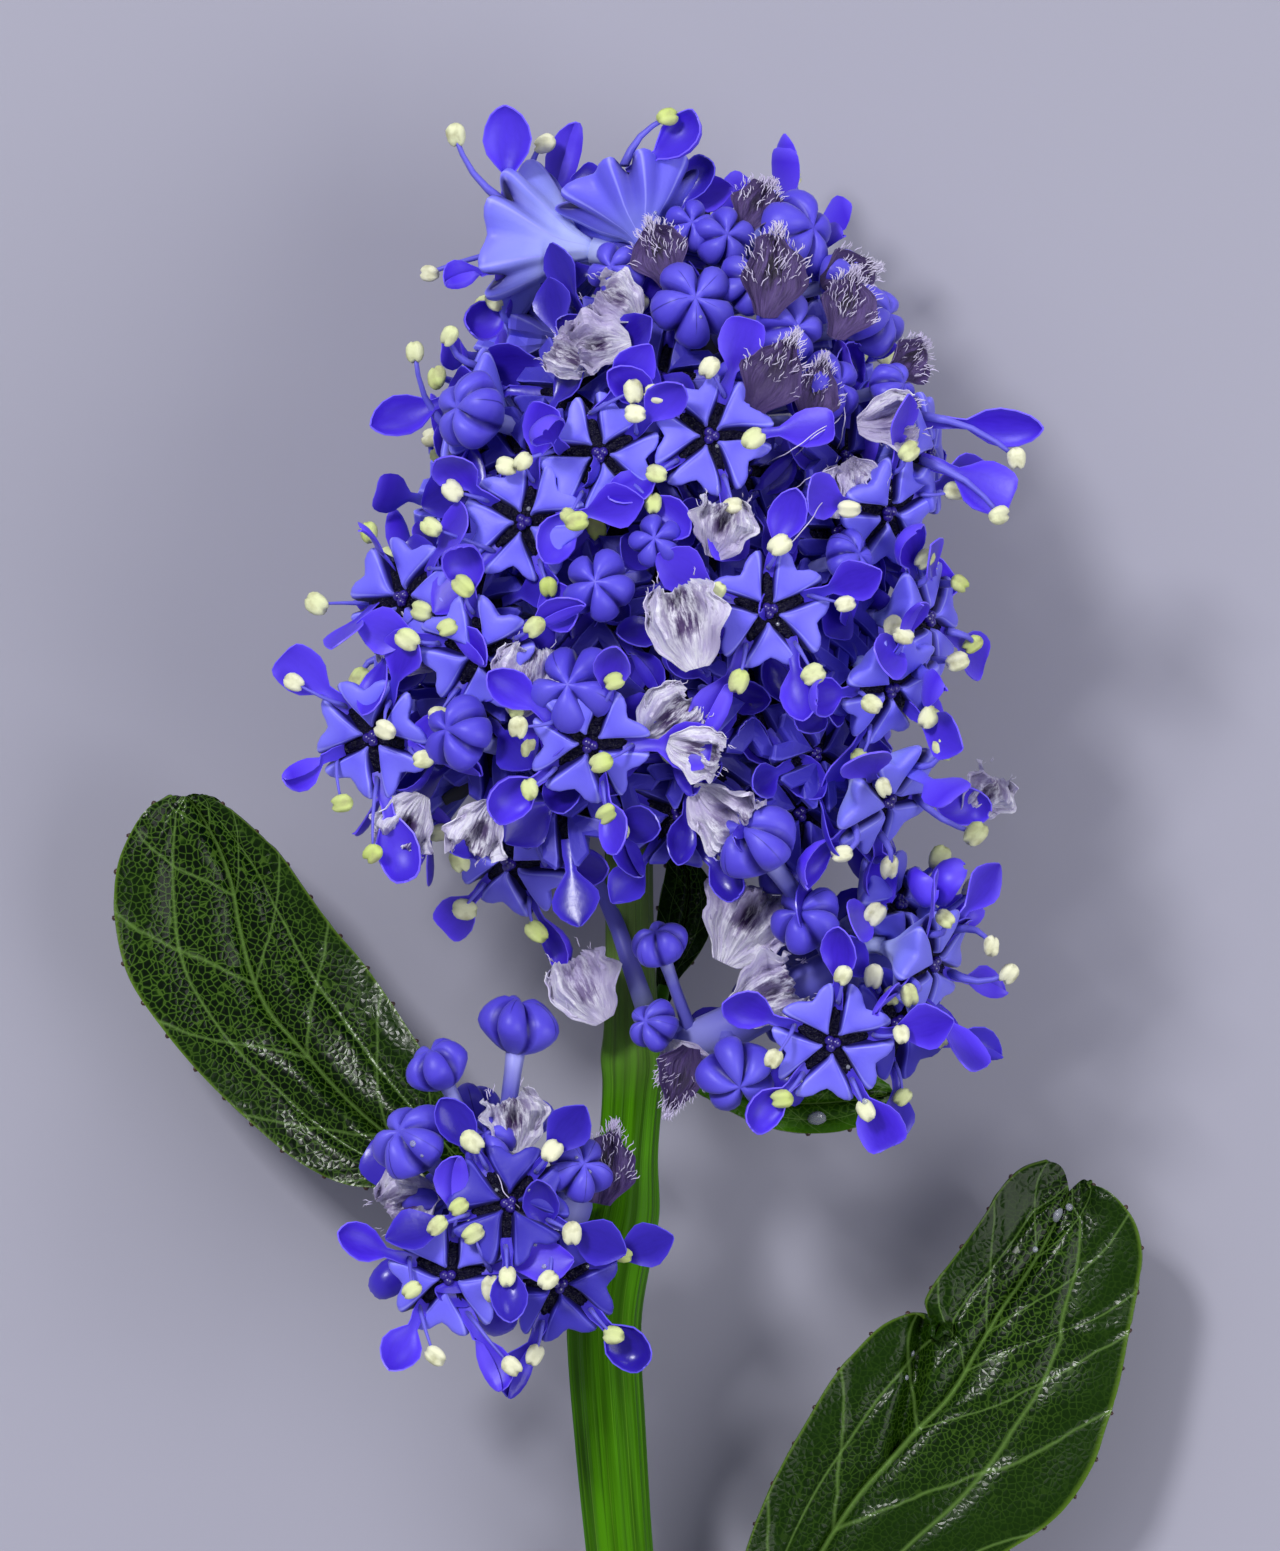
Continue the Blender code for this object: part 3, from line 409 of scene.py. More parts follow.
def leaf_spot(name, share, side):
    """The pixel and the height in mm of a place on a blade: its share along, and its side from -1 to 1."""
    rows, fold, _ = LEAVES[name]
    across, down, height, left_x, left_y, right_x, right_y = eased(rows, share)
    edge_x, edge_y = (left_x, left_y) if side > 0 else (right_x, right_y)
    reach = abs(side)
    width = math.hypot(edge_x - across, edge_y - down)
    full = min(1.0, width / 60.0)
    pixel = Vector((across + (edge_x - across) * reach, down + (edge_y - down) * reach))
    if name == "leaf_lower_right":
        bulge = TIP_ROUND * math.sin(math.pi * reach) * max(0.0, share - 0.95) / 0.05
        pixel += Vector((0.45, -0.90)) * bulge
    rise = fold * reach * reach * full - 0.30 * max(0.0, reach - 0.72) * full
    rise -= VEIN_DEPTH * groove(reach, 0.045) * min(1.0, 1.5 - share)
    rise -= VEIN_DEPTH * 0.55 * groove(reach - between(VEIN_WAYS, share), 0.045) * full
    rise += 0.16 * groove(reach - 0.5 * between(VEIN_WAYS, share), 0.20) * full
    phase = (share * SIDE_VEINS - reach * SIDE_VEIN_SLANT) % 1.0
    rise -= SIDE_VEIN_DEPTH * groove(min(phase, 1.0 - phase), 0.08) * full
    rise += 0.09 * noise.noise(Vector((share * 9.0, side * 4.0, len(name)))) * full
    if name == "leaf_lower_right":
        rise -= FOLD_DEPTH * groove(off_line(pixel, FOLD_GROOVE), FOLD_WIDTH) * (1.0 if side > 0 else 0.0)
    return pixel, height + rise


def parted(tree, coordinates):
    """The two parts of a UV map: along the piece and across it."""
    made = tree.nodes.new("ShaderNodeSeparateXYZ")
    tree.links.new(coordinates, made.inputs["Vector"])
    return made.outputs["X"], made.outputs["Y"]


def sum_of(tree, kind, first, second=0.0):
    """One step of arithmetic between nodes and numbers."""
    made = tree.nodes.new("ShaderNodeMath")
    made.operation = kind
    for socket, value in ((made.inputs[0], first), (made.inputs[1], second)):
        if isinstance(value, bpy.types.NodeSocket):
            tree.links.new(value, socket)
        else:
            socket.default_value = value
    return made.outputs["Value"]


glands = []
for name, (rows, fold, (along_count, across_count)) in LEAVES.items():
    begin()
    bpy.ops.mesh.primitive_grid_add(x_subdivisions=along_count, y_subdivisions=across_count, size=1.0)
    blade = bpy.context.object
    layer = blade.data.uv_layers.active
    for corner in blade.data.loops:
        place = blade.data.vertices[corner.vertex_index].co
        layer.data[corner.index].uv = (place.x + 0.5, abs(place.y) * 2)
    places = [(vert.co.x + 0.5, abs(vert.co.y) * 2) for vert in blade.data.vertices]
    for vert in blade.data.vertices:
        pixel, height = leaf_spot(name, vert.co.x + 0.5, vert.co.y * 2)
        vert.co = spot(*pixel, height)
    full = blade.vertex_groups.new(name="full thickness")
    for vert, (share, reach) in zip(blade.data.vertices, places):
        inner = min(1.0 - reach, 4.0 * share, 4.0 * (1.0 - share))
        full.add([vert.index], min(1.0, EDGE_SHARE + inner / EDGE_TAPER), "REPLACE")
    thick = blade.modifiers.new("thickness", "SOLIDIFY")
    thick.thickness = BLADE
    thick.offset = -1.0
    thick.vertex_group = full.name
    bpy.ops.object.modifier_apply(modifier=thick.name)
    blade.name = name.replace("leaf", "blade")
    shade(blade, 60.0)
    for side in (-1.0, 1.0):
        walked, last = 0.0, None
        for step in range(161):
            pixel, height = leaf_spot(name, 0.2 + 0.8 * step / 160, side)
            here = spot(*pixel, height - 0.1)
            walked += (here - last).length / MM if last else 0.0
            last = here
            if walked > GLAND_SPACING:
                glands.append(here)
                walked = 0.25 * noise.noise(here / MM)
    tree, shader, leaf_skin = new_material(name + " skin", 0.18, Specular_IOR_Level=0.13)
    place = coordinates_of(tree)
    leaf_map = tree.nodes.new("ShaderNodeSeparateXYZ")
    tree.links.new(coordinates_of(tree, "UV"), leaf_map.inputs["Vector"])
    net = tree.nodes.new("ShaderNodeTexVoronoi")
    net.feature = "DISTANCE_TO_EDGE"
    net.inputs["Scale"].default_value = CELL_SCALE
    tree.links.new(place, net.inputs["Vector"])
    cells = ramp_of(tree, net.outputs["Distance"], (0.0, LEAF_NET), (0.022, LEAF_NET), (0.08, LEAF_GREEN),
                    (0.18, LEAF_CELL))
    along, across = parted(tree, coordinates_of(tree, "UV"))
    outer = sum_of(tree, "MAXIMUM", sum_of(tree, "SUBTRACT", 1.0, along), across)
    plain = sum_of(tree, "MULTIPLY", outer, noise_of(tree, place, 260.0))
    least, most = (0.30, 0.62) if name == "leaf_left" else (0.05, 0.38)
    mottle = ramp_of(tree, plain, (least, (0.0, 0.0, 0.0)), (most, (0.85, 0.85, 0.85)))
    body = blend_of(tree, mottle, cells, WET_GREEN if name == "leaf_under_cluster" else LEAF_GREEN)
    slanted = sum_of(tree, "SUBTRACT", sum_of(tree, "MULTIPLY", along, SIDE_VEINS),
                     sum_of(tree, "MULTIPLY", across, SIDE_VEIN_SLANT))
    wander = sum_of(tree, "MULTIPLY", noise_of(tree, place, 500.0), 0.25)
    side_vein = sum_of(tree, "PINGPONG", sum_of(tree, "ADD", slanted, wander), 0.5)
    thin = ramp_of(tree, side_vein, (0.0, (0.55, 0.55, 0.55)), (0.035, (0.0, 0.0, 0.0)))
    body = blend_of(tree, thin, body, LEAF_RIB)
    way = ramp_of(tree, leaf_map.outputs["X"], *((at, (side, side, side)) for at, side in VEIN_WAYS))
    for line, width, strength in ((leaf_map.outputs["Y"], 0.030, 0.9), (None, 0.022, 0.6)):
        if line is None:
            apart = tree.nodes.new("ShaderNodeMath")
            apart.operation = "SUBTRACT"
            tree.links.new(leaf_map.outputs["Y"], apart.inputs[0])
            tree.links.new(way, apart.inputs[1])
            positive = tree.nodes.new("ShaderNodeMath")
            positive.operation = "ABSOLUTE"
            tree.links.new(apart.outputs["Value"], positive.inputs[0])
            line = positive.outputs["Value"]
        vein = ramp_of(tree, line, (0.0, (strength,) * 3), (width, (0.0, 0.0, 0.0)))
        body = blend_of(tree, vein, body, LEAF_RIB)
    margin = ramp_of(tree, leaf_map.outputs["Y"], (0.965, (0.0, 0.0, 0.0)), (0.995, (0.7, 0.7, 0.7)))
    tree.links.new(blend_of(tree, margin, body, LEAF_RIM), shader.inputs["Base Color"])
    bump_of(tree, shader, net.outputs["Distance"], 0.26, 0.00006)
    fixed(blade, leaf_skin, "leaf", name)

begin()
for here in glands:
    bpy.ops.mesh.primitive_uv_sphere_add(segments=7, ring_count=5, radius=GLAND_RADIUS * MM, location=here)
for piece in bpy.context.scene.objects:
    if piece.name.startswith("Sphere"):
        piece.select_set(True)
bpy.ops.object.join()
bpy.ops.object.transform_apply(location=True, rotation=True, scale=True)
beads = bpy.context.object
beads.name = "leaf_glands"
for vert in beads.data.vertices:
    vert.co += 0.4 * GLAND_RADIUS * MM * noise.noise_vector(vert.co / MM * 6.0)
bpy.ops.object.shade_smooth()
tree, shader, gland_skin = new_material("gland", 0.35)
tint = noise_of(tree, coordinates_of(tree), 900.0)
tree.links.new(blend_of(tree, tint, (0.012, 0.006, 0.003), (0.060, 0.022, 0.010)), shader.inputs["Base Color"])
fixed(beads, gland_skin, "leaf")

# Each leaf hangs on a short green petiole that leaves the stem at a node and runs into its midrib.
PETIOLE_ROOTS = {
    # in the stem's middle: across, down and height in mm
    "leaf_left": (612, 1216, 5.40), "leaf_lower_right": (646, 1850, 0.95),
    "leaf_under_cluster": (634, 1075, 6.05), "leaf_behind_stem": (631, 1042, 6.20),
}
PETIOLE_RADIUS = 0.34
PETIOLE_TAPER = 0.20

petioles = []
for name, root in PETIOLE_ROOTS.items():
    rows = whole_curve((root, *(row[:3] for row in LEAVES[name][0][:2])), 6)
    radii = [(PETIOLE_RADIUS - PETIOLE_TAPER * i / len(rows)) * MM for i in range(len(rows))]
    petioles.append(tube("petiole", [spot(*row) for row in rows], radii, sides=3))
begin()
for petiole in petioles:
    petiole.select_set(True)
bpy.context.view_layer.objects.active = petioles[0]
bpy.ops.object.join()
petioles[0].name = "petioles"
shade(petioles[0], 60.0)
tree, shader, petiole_skin = new_material("petiole skin", 0.30, Specular_IOR_Level=0.1)
tint = noise_of(tree, coordinates_of(tree), 1400.0)
tree.links.new(blend_of(tree, tint, STEM_DARK, STEM_GREEN), shader.inputs["Base Color"])
fixed(petioles[0], petiole_skin, "stem")

# A flower's calyx is one piece with its stalk: a ribbed cup, and five broad, flat sepals that fold in
# over it. Each is an arrow with its tip at the middle and a notch behind, and a deep even channel parts
# it from the next, where a petal's claw lies.
LOBES = 5
LOBE_TURN = math.tau / LOBES
CALYX_RINGS = (
    # for the middle of a sepal, its shoulder, its edge, its side wall and the channel:
    # radius, height and angle in degrees from the sepal's middle
    ((0.17, -1.55, 0), (0.17, -1.55, 9), (0.17, -1.55, 18), (0.17, -1.55, 27), (0.17, -1.55, 36)),
    ((0.23, -1.25, 0), (0.23, -1.25, 9), (0.23, -1.25, 18), (0.22, -1.25, 27), (0.22, -1.25, 36)),
    ((0.38, -0.98, 0), (0.39, -0.98, 9), (0.39, -0.98, 18), (0.37, -0.98, 27), (0.36, -0.98, 36)),
    ((0.72, -0.70, 0), (0.79, -0.70, 9), (0.80, -0.70, 18), (0.73, -0.70, 27), (0.66, -0.70, 36)),
    ((0.96, -0.38, 0), (1.15, -0.38, 10), (1.26, -0.38, 22), (1.12, -0.42, 30), (0.90, -0.44, 36)),
    ((1.04, -0.06, 0), (1.42, -0.08, 10), (1.57, -0.10, 24.5), (1.44, -0.22, 29.5), (0.98, -0.36, 36)),
    ((1.05, 0.08, 0), (1.46, 0.06, 10.5), (1.62, 0.05, 25.2), (1.50, -0.12, 30.2), (1.00, -0.34, 36)),
    ((1.04, 0.13, 0), (1.42, 0.13, 11.5), (1.56, 0.13, 27.4), (1.48, -0.06, 30.2), (1.00, -0.34, 36)),
    ((0.96, 0.18, 0), (1.21, 0.16, 14), (1.33, 0.15, 27.8), (1.31, -0.04, 29.4), (0.96, -0.34, 36)),
    ((0.84, 0.21, 0), (0.98, 0.18, 13.5), (1.06, 0.17, 25.7), (1.05, -0.02, 27.8), (0.86, -0.34, 36)),
    ((0.70, 0.22, 0), (0.76, 0.20, 11.5), (0.82, 0.18, 22.6), (0.81, -0.02, 25.3), (0.70, -0.34, 36)),
    ((0.54, 0.22, 0), (0.57, 0.20, 8.5), (0.60, 0.18, 17.3), (0.59, -0.02, 21.0), (0.53, -0.34, 36)),
    ((0.40, 0.20, 0), (0.41, 0.19, 4.5), (0.43, 0.17, 9.4), (0.42, -0.02, 14.5), (0.38, -0.34, 36)),
    ((0.30, 0.16, 0), (0.30, 0.15, 1.6), (0.305, 0.13, 3.4), (0.29, -0.06, 8), (0.27, -0.34, 36)),
    ((0.16, -0.34, 0), (0.16, -0.34, 9), (0.16, -0.34, 18), (0.16, -0.34, 27), (0.16, -0.34, 36)),
)
LOBE_POINTS = 8                     # of a ring, in each lobe: there and back over the five above


def edit(piece, how="DESELECT"):
    """Edit mode on one piece."""
    begin()
    piece.select_set(True)
    bpy.context.view_layer.objects.active = piece
    bpy.ops.object.mode_set(mode="EDIT")
    bpy.ops.mesh.select_all(action=how)


def section(piece, along, rule):
    """Moves each selected point by a rule of its number round the ring, and notes where it is.

    The rule gives the point's place, and how far it lies across its petal, sepal or rib.
    """
    mesh = bmesh.from_edit_mesh(piece.data)
    lengthwise = mesh.verts.layers.float.get("along") or mesh.verts.layers.float.new("along")
    crosswise = mesh.verts.layers.float.get("across") or mesh.verts.layers.float.new("across")
    ring = [vert for vert in mesh.verts if vert.select]
    ring.sort(key=lambda vert: (math.atan2(vert.co.y, vert.co.x) + 0.01) % math.tau)
    for i, vert in enumerate(ring):
        vert.co, vert[crosswise] = rule(i)
        vert[lengthwise] = along
    bmesh.update_edit_mesh(piece.data)


def mapped(piece):
    """A UV map along the piece and across it, for colours that follow its shape."""
    layer = piece.data.uv_layers.active or piece.data.uv_layers.new(name="UVMap")
    along = piece.data.attributes["along"].data
    across = piece.data.attributes["across"].data
    for corner in piece.data.loops:
        number = corner.vertex_index
        layer.data[corner.index].uv = (along[number].value, across[number].value)
    for name in ("along", "across"):
        piece.data.attributes.remove(piece.data.attributes[name])


def closed_shape(piece):
    """The doubles merged and the faces turned outwards."""
    edit(piece, "SELECT")
    bpy.ops.mesh.remove_doubles(threshold=0.0001)
    bpy.ops.mesh.normals_make_consistent(inside=False)
    bpy.ops.object.mode_set(mode="OBJECT")


def modified(piece, kind, **settings):
    """One modifier, set and applied."""
    begin()
    piece.select_set(True)
    bpy.context.view_layer.objects.active = piece
    modifier = piece.modifiers.new(kind.lower(), kind)
    for key, value in settings.items():
        setattr(modifier, key, value)
    bpy.ops.object.modifier_apply(modifier=modifier.name)
    bpy.ops.object.shade_smooth()


def calyx_point(ring, i):
    """The place of a point round a calyx, where point 0 is the middle of the first channel."""
    lobe, step = divmod(i, LOBE_POINTS)
    away = abs(LOBE_POINTS // 2 - step)
    radius, height, degrees = ring[away]
    sign = -1 if step < LOBE_POINTS // 2 else 1
    angle = (lobe + 0.5) * LOBE_TURN + sign * math.radians(degrees)
    return Vector((radius * math.cos(angle), radius * math.sin(angle), height)), away / 4


begin()
bpy.ops.mesh.primitive_circle_add(vertices=LOBES * LOBE_POINTS, radius=1.0, fill_type="NGON")
calyx = bpy.context.object
edit(calyx, "SELECT")
section(calyx, 0.0, lambda i: calyx_point(CALYX_RINGS[0], i))
for number, ring in enumerate(CALYX_RINGS[1:], 1):
    bpy.ops.mesh.extrude_region_move(TRANSFORM_OT_translate={"value": (0.0, 0.0, 0.01)})
    section(calyx, number / (len(CALYX_RINGS) - 1), lambda i: calyx_point(ring, i))
bpy.ops.object.mode_set(mode="OBJECT")
mapped(calyx)
closed_shape(calyx)
plain_calyx_mesh = calyx.data.copy()            # for the flowers at the back of the head
modified(calyx, "SUBSURF", levels=1, render_levels=1)
calyx.name = "calyx"

# In the middle of a flower lies a black, glossy nectar disc, which runs out into each channel, and on
# it the pistil: a short, deep violet column with three lobes.
DISC_ARM = 1.06                     # radius of the disc's arms, in the channels
DISC_ARM_SIDE = 0.99                # of an arm's corners
DISC_ARM_SPREAD = math.radians(8.0)
DISC_BAY = 0.34                     # and between them
DISC_LEVELS = ((1.0, -0.32), (1.0, -0.18), (0.93, -0.07), (0.60, -0.03))      # share of it, height
DISC_LUMPS = 0.05
PISTIL_LOBES = 3

begin()
bpy.ops.mesh.primitive_circle_add(vertices=LOBES * 4, radius=1.0, fill_type="NGON")
disc = bpy.context.object
edit(disc, "SELECT")


def disc_point(share, height, i):
    """A point round the disc: every fourth is the tip of an arm."""
    step = i % 4
    radius = (DISC_ARM, DISC_ARM_SIDE, DISC_BAY, DISC_ARM_SIDE)[step]
    spread = (0.0, DISC_ARM_SPREAD, 0.0, -DISC_ARM_SPREAD)[step]
    angle = LOBE_TURN * (i // 4) + (LOBE_TURN / 2 if step == 2 else spread + (LOBE_TURN if step == 3 else 0.0))
    return Vector((share * radius * math.cos(angle), share * radius * math.sin(angle), height)), 0.0


section(disc, 0.0, lambda i: disc_point(*DISC_LEVELS[0], i))
for share, height in DISC_LEVELS[1:]:
    bpy.ops.mesh.extrude_region_move(TRANSFORM_OT_translate={"value": (0.0, 0.0, 0.01)})
    section(disc, 0.0, lambda i: disc_point(share, height, i))
bpy.ops.object.mode_set(mode="OBJECT")
mapped(disc)
closed_shape(disc)
modified(disc, "SUBSURF", levels=1, render_levels=1)
for vert in disc.data.vertices:
    vert.co.z += DISC_LUMPS * noise.noise(vert.co * 7.0)

begin()
for lobe in range(PISTIL_LOBES):
    angle = math.tau * lobe / PISTIL_LOBES
    bpy.ops.mesh.primitive_uv_sphere_add(
        segments=10, ring_count=6, radius=0.13, location=(0.10 * math.cos(angle), 0.10 * math.sin(angle), 0.06))
bpy.ops.mesh.primitive_cone_add(vertices=10, radius1=0.22, radius2=0.10, depth=0.30, location=(0, 0, -0.10))
pistil = bpy.context.object
for other in bpy.context.scene.objects:
    if other.name.startswith("Sphere"):
        other.select_set(True)
bpy.ops.object.join()
bpy.ops.object.transform_apply(location=True, rotation=True, scale=True)
bpy.ops.object.shade_smooth()

# A petal is a blade on a claw: the claw is a flat strap that lies in a channel of the calyx, and the
# blade beyond it is a boat with its rims turned up. Some have one side folded over, and some a hooded
# end. All are deepest blue inside, where shade is painted into the hollow, paler outside, and brightest along the
# thin rim, a painted highlight.
CLAW_ROWS = (
    # out, height of the rim, half width, depth under the rim, in mm
    (0.00, -0.03, 0.16, 0.02), (0.40, 0.04, 0.17, 0.03), (0.64, 0.08, 0.13, 0.04), (0.84, 0.10, 0.13, 0.05),
)
BLADE_ROWS = {
    "boat": ((1.02, 0.13, 0.27, 0.11), (1.24, 0.17, 0.43, 0.18), (1.52, 0.21, 0.51, 0.22), (1.80, 0.24, 0.46, 0.21),
             (2.04, 0.27, 0.33, 0.16), (2.18, 0.29, 0.17, 0.09), (2.25, 0.31, 0.03, 0.02)),
    "kite": ((1.04, 0.12, 0.27, 0.05), (1.28, 0.16, 0.46, 0.08), (1.52, 0.18, 0.60, 0.10), (1.74, 0.19, 0.60, 0.10),
             (2.00, 0.18, 0.43, 0.08), (2.20, 0.17, 0.21, 0.05), (2.31, 0.16, 0.05, 0.02)),
    "blunt": ((1.04, 0.12, 0.28, 0.06), (1.24, 0.15, 0.46, 0.09), (1.50, 0.17, 0.56, 0.11), (1.80, 0.18, 0.56, 0.11),
              (2.02, 0.18, 0.51, 0.09), (2.14, 0.17, 0.42, 0.06), (2.19, 0.16, 0.24, 0.03)),
    "folded": ((1.04, 0.13, 0.28, 0.09), (1.28, 0.18, 0.48, 0.15), (1.56, 0.22, 0.57, 0.18), (1.84, 0.24, 0.53, 0.17),
               (2.06, 0.26, 0.40, 0.13), (2.22, 0.27, 0.22, 0.08), (2.28, 0.28, 0.07, 0.03)),
    "hood": ((1.04, 0.14, 0.30, 0.14), (1.28, 0.20, 0.46, 0.26), (1.56, 0.26, 0.50, 0.34), (1.82, 0.32, 0.45, 0.36),
             (2.00, 0.41, 0.36, 0.32), (2.10, 0.50, 0.24, 0.22), (2.13, 0.57, 0.08, 0.08)),
}
PETAL_WRAPS = {"boat": 66.0, "kite": 35.0, "blunt": 35.0, "folded": 55.0, "hood": 95.0}   # degrees up each side
PETAL_ARC = 12                      # faces across a petal
PETAL_MIDDLE = 1.62                 # out to the middle of the blade
PETAL_THICKNESS = 0.036
FOLD_LINE = 0.33                    # where a folded petal turns over, as a share of its half width
FOLD_LIFT = 0.05
OUTSIDE, RIM = 3.0, 6.0             # added to the map across a petal, on its outside and its rim


def petal_shape(name, wrap, rows):
    """A petal along +X, its sides turned up by an angle, modelled from its root to its tip."""
    begin()
    bpy.ops.mesh.primitive_grid_add(x_subdivisions=1, y_subdivisions=PETAL_ARC, size=2.0)
    petal = bpy.context.object
    petal.name = name
    edit(petal)
    mesh = bmesh.from_edit_mesh(petal.data)
    lengthwise = mesh.verts.layers.float.new("along")
    crosswise = mesh.verts.layers.float.new("across")
    bmesh.ops.delete(mesh, geom=[vert for vert in mesh.verts if vert.co.x > 0.0], context="VERTS")
    for vert in mesh.verts:
        vert[crosswise] = vert.co.y
        vert.select = True
    mesh.select_flush(True)
    bmesh.update_edit_mesh(petal.data)
    for number, (out, height, half_width, depth) in enumerate(rows):
        if number:
            bpy.ops.mesh.extrude_region_move(TRANSFORM_OT_translate={"value": (0.1, 0.0, 0.0)})
        mesh = bmesh.from_edit_mesh(petal.data)
        lengthwise = mesh.verts.layers.float["along"]
        crosswise = mesh.verts.layers.float["across"]
        folded = name == "folded" and out > CLAW_ROWS[-1][0]
        for vert in (vert for vert in mesh.verts if vert.select):
            side = vert[crosswise]
            over = max(0.0, side - FOLD_LINE) if folded else 0.0
            turn = (side - over) * wrap
            y = half_width * (math.sin(turn) / math.sin(min(wrap, math.pi / 2)) - 0.95 * over)
            z = height - depth * (math.cos(turn) - math.cos(wrap)) / (1.0 - math.cos(wrap))
            z += FOLD_LIFT * min(1.0, over * 6.0) + 0.10 * over
            vert.co = (out, y, z)
            vert[lengthwise] = out / rows[-1][0]
        bmesh.update_edit_mesh(petal.data)
    bpy.ops.object.mode_set(mode="OBJECT")
    mapped(petal)
    edit(petal, "SELECT")
    bpy.ops.mesh.normals_make_consistent(inside=False)
    bpy.ops.object.mode_set(mode="OBJECT")
    if petal.data.polygons[0].normal.z < 0.0:
        petal.data.flip_normals()
    sheet = len(petal.data.polygons)
    modified(petal, "SOLIDIFY", thickness=PETAL_THICKNESS, offset=0.0)
    layer = petal.data.uv_layers.active
    for face in petal.data.polygons:
        which = 0.0 if face.index < sheet else OUTSIDE if face.index < 2 * sheet else RIM
        for corner in face.loop_indices:
            layer.data[corner].uv.y += which
    shade(petal, 55.0)
    return petal


petals = [petal_shape(name, math.radians(PETAL_WRAPS[name]), CLAW_ROWS + BLADE_ROWS[name]) for name in BLADE_ROWS]

# A stamen is a thin violet filament bowed up over its petal, with a cream anther on it: a soft, squarish
# bean of two lobes with a groove between them, and a shallow pit.
FILAMENT_BOW = 0.20                 # of its length
ANTHER_HALF = (0.26, 0.19, 0.15)    # in mm
GROOVE_SQUEEZE = (0.74, 1.0, 0.62)

filament = tube("filament", [Vector((x, 0.0, FILAMENT_BOW * math.sin(math.pi * x))) for x in
                             (0.0, 0.25, 0.5, 0.75, 1.0)], (0.105, 0.09, 0.075, 0.06, 0.05))
begin()
bpy.ops.mesh.primitive_cube_add(size=2.0)
anther = bpy.context.object
edit(anther, "SELECT")
bpy.ops.mesh.subdivide(number_cuts=3, smoothness=0.95)
bpy.ops.mesh.select_all(action="DESELECT")
mesh = bmesh.from_edit_mesh(anther.data)
for vert in mesh.verts:
    vert.select = abs(vert.co.y) < 0.2 and (vert.co.z > -0.5)
mesh.select_flush_mode()
bmesh.update_edit_mesh(anther.data)
bpy.ops.transform.resize(value=GROOVE_SQUEEZE, center_override=(0.0, 0.0, 0.0))
bpy.ops.mesh.select_all(action="SELECT")
bpy.ops.transform.resize(value=[half * 0.74 for half in ANTHER_HALF], center_override=(0.0, 0.0, 0.0))
bpy.ops.object.mode_set(mode="OBJECT")
for vert in anther.data.vertices:
    vert.co *= 1.0 + 0.14 * noise.noise(vert.co * 5.0)
bpy.ops.object.shade_smooth()

# A bud is a flower still shut: five fat, round sepals that meet in a dimple, with a deep valley between
# each two and a fine dark seam along the back of each.
BUD_SEGMENTS = 40
BUD_RINGS = 14
BUD_VALLEY = 0.42                   # depth of the valleys, as a share of the radius
BUD_SEAM = 0.004
BUD_DIMPLE = 0.20
BUD_HEIGHT = 0.74

begin()
bpy.ops.mesh.primitive_uv_sphere_add(segments=BUD_SEGMENTS, ring_count=BUD_RINGS, radius=1.0)
bud = bpy.context.object
bud.name = "bud"
layer = bud.data.uv_layers.active
for corner in bud.data.loops:
    place = bud.data.vertices[corner.vertex_index].co
    away = math.hypot(place.x, place.y)
    angle = math.atan2(place.y, place.x)
    lobe = (angle / LOBE_TURN) % 1.0 if away > 0.04 else 0.25
    layer.data[corner.index].uv = ((place.z + 1.0) / 2.0, abs(2.0 * lobe - 1.0))
for vert in bud.data.vertices:
    place = vert.co.copy()
    angle = math.atan2(place.y, place.x)
    away = math.hypot(place.x, place.y)
    lobed = abs(math.sin(angle * LOBES / 2)) ** 0.52
    upper = min(1.0, max(0.0, (place.z + 0.80) / 0.8))
    reach = min(1.0, away * 2.6)
    seam = BUD_SEAM * (1.0 if abs(lobed - 1.0) < 0.02 and away > 0.05 else 0.0)
    radius = 1.0 - (BUD_VALLEY * (1.0 - lobed) + seam) * upper * reach
    height = BUD_HEIGHT * place.z
    if place.z > 0.0:
        height -= BUD_DIMPLE * math.exp(-(away / 0.30) ** 2) + 0.34 * (1.0 - lobed) * place.z * reach + seam
    taper = 1.0 if place.z > -0.1 else 1.0 - 0.34 * (-0.1 - place.z)
    vert.co = (place.x * radius * taper, place.y * radius * taper, height + 0.05)
bpy.ops.object.shade_smooth()

# A bract is a papery scale that wrapped the young buds. The old, pale ones are torn fans, creased from
# their foot and toothed at the end; the young, dark ones are pointed and woolly with curled white hairs.
BRACT_STATIONS = {
    # out, height, half width, rise of the sides, from the foot to the end, in mm
    "pale": ((0.00, 0.00, 0.26, 0.10), (0.28, 0.08, 0.52, 0.20), (0.65, 0.16, 0.78, 0.30), (1.05, 0.20, 0.93, 0.32),
             (1.45, 0.18, 0.95, 0.28), (1.80, 0.08, 0.80, 0.22), (2.05, -0.04, 0.48, 0.14)),
    "dark": ((0.00, 0.00, 0.30, 0.20), (0.40, 0.14, 0.62, 0.36), (0.85, 0.24, 0.76, 0.42), (1.30, 0.24, 0.64, 0.34),
             (1.70, 0.14, 0.40, 0.20), (2.00, 0.02, 0.16, 0.08), (2.15, -0.04, 0.03, 0.02)),
}
BRACT_FOLDS = 1.3                   # sharp folds in each half of a scale, and the fine pleats between them
BRACT_PLEATS = 6.5
BRACT_TEETH = 5.5
TOOTH_DEPTH = 0.05                  # as a share of the length
BRACT_THICKNESS = 0.030
FRINGE = {"pale": 16, "dark": 40}   # hairs along a scale's edge
FLEECE = {"pale": 0, "dark": 110}   # and over its back
ROOTED = {"pale": 0.80, "dark": 1.0}  # how near the edge the hairs start, as a share of its width
HAIR_LENGTH = 0.34
HAIR_RADIUS = 0.05                  # as a share of its length


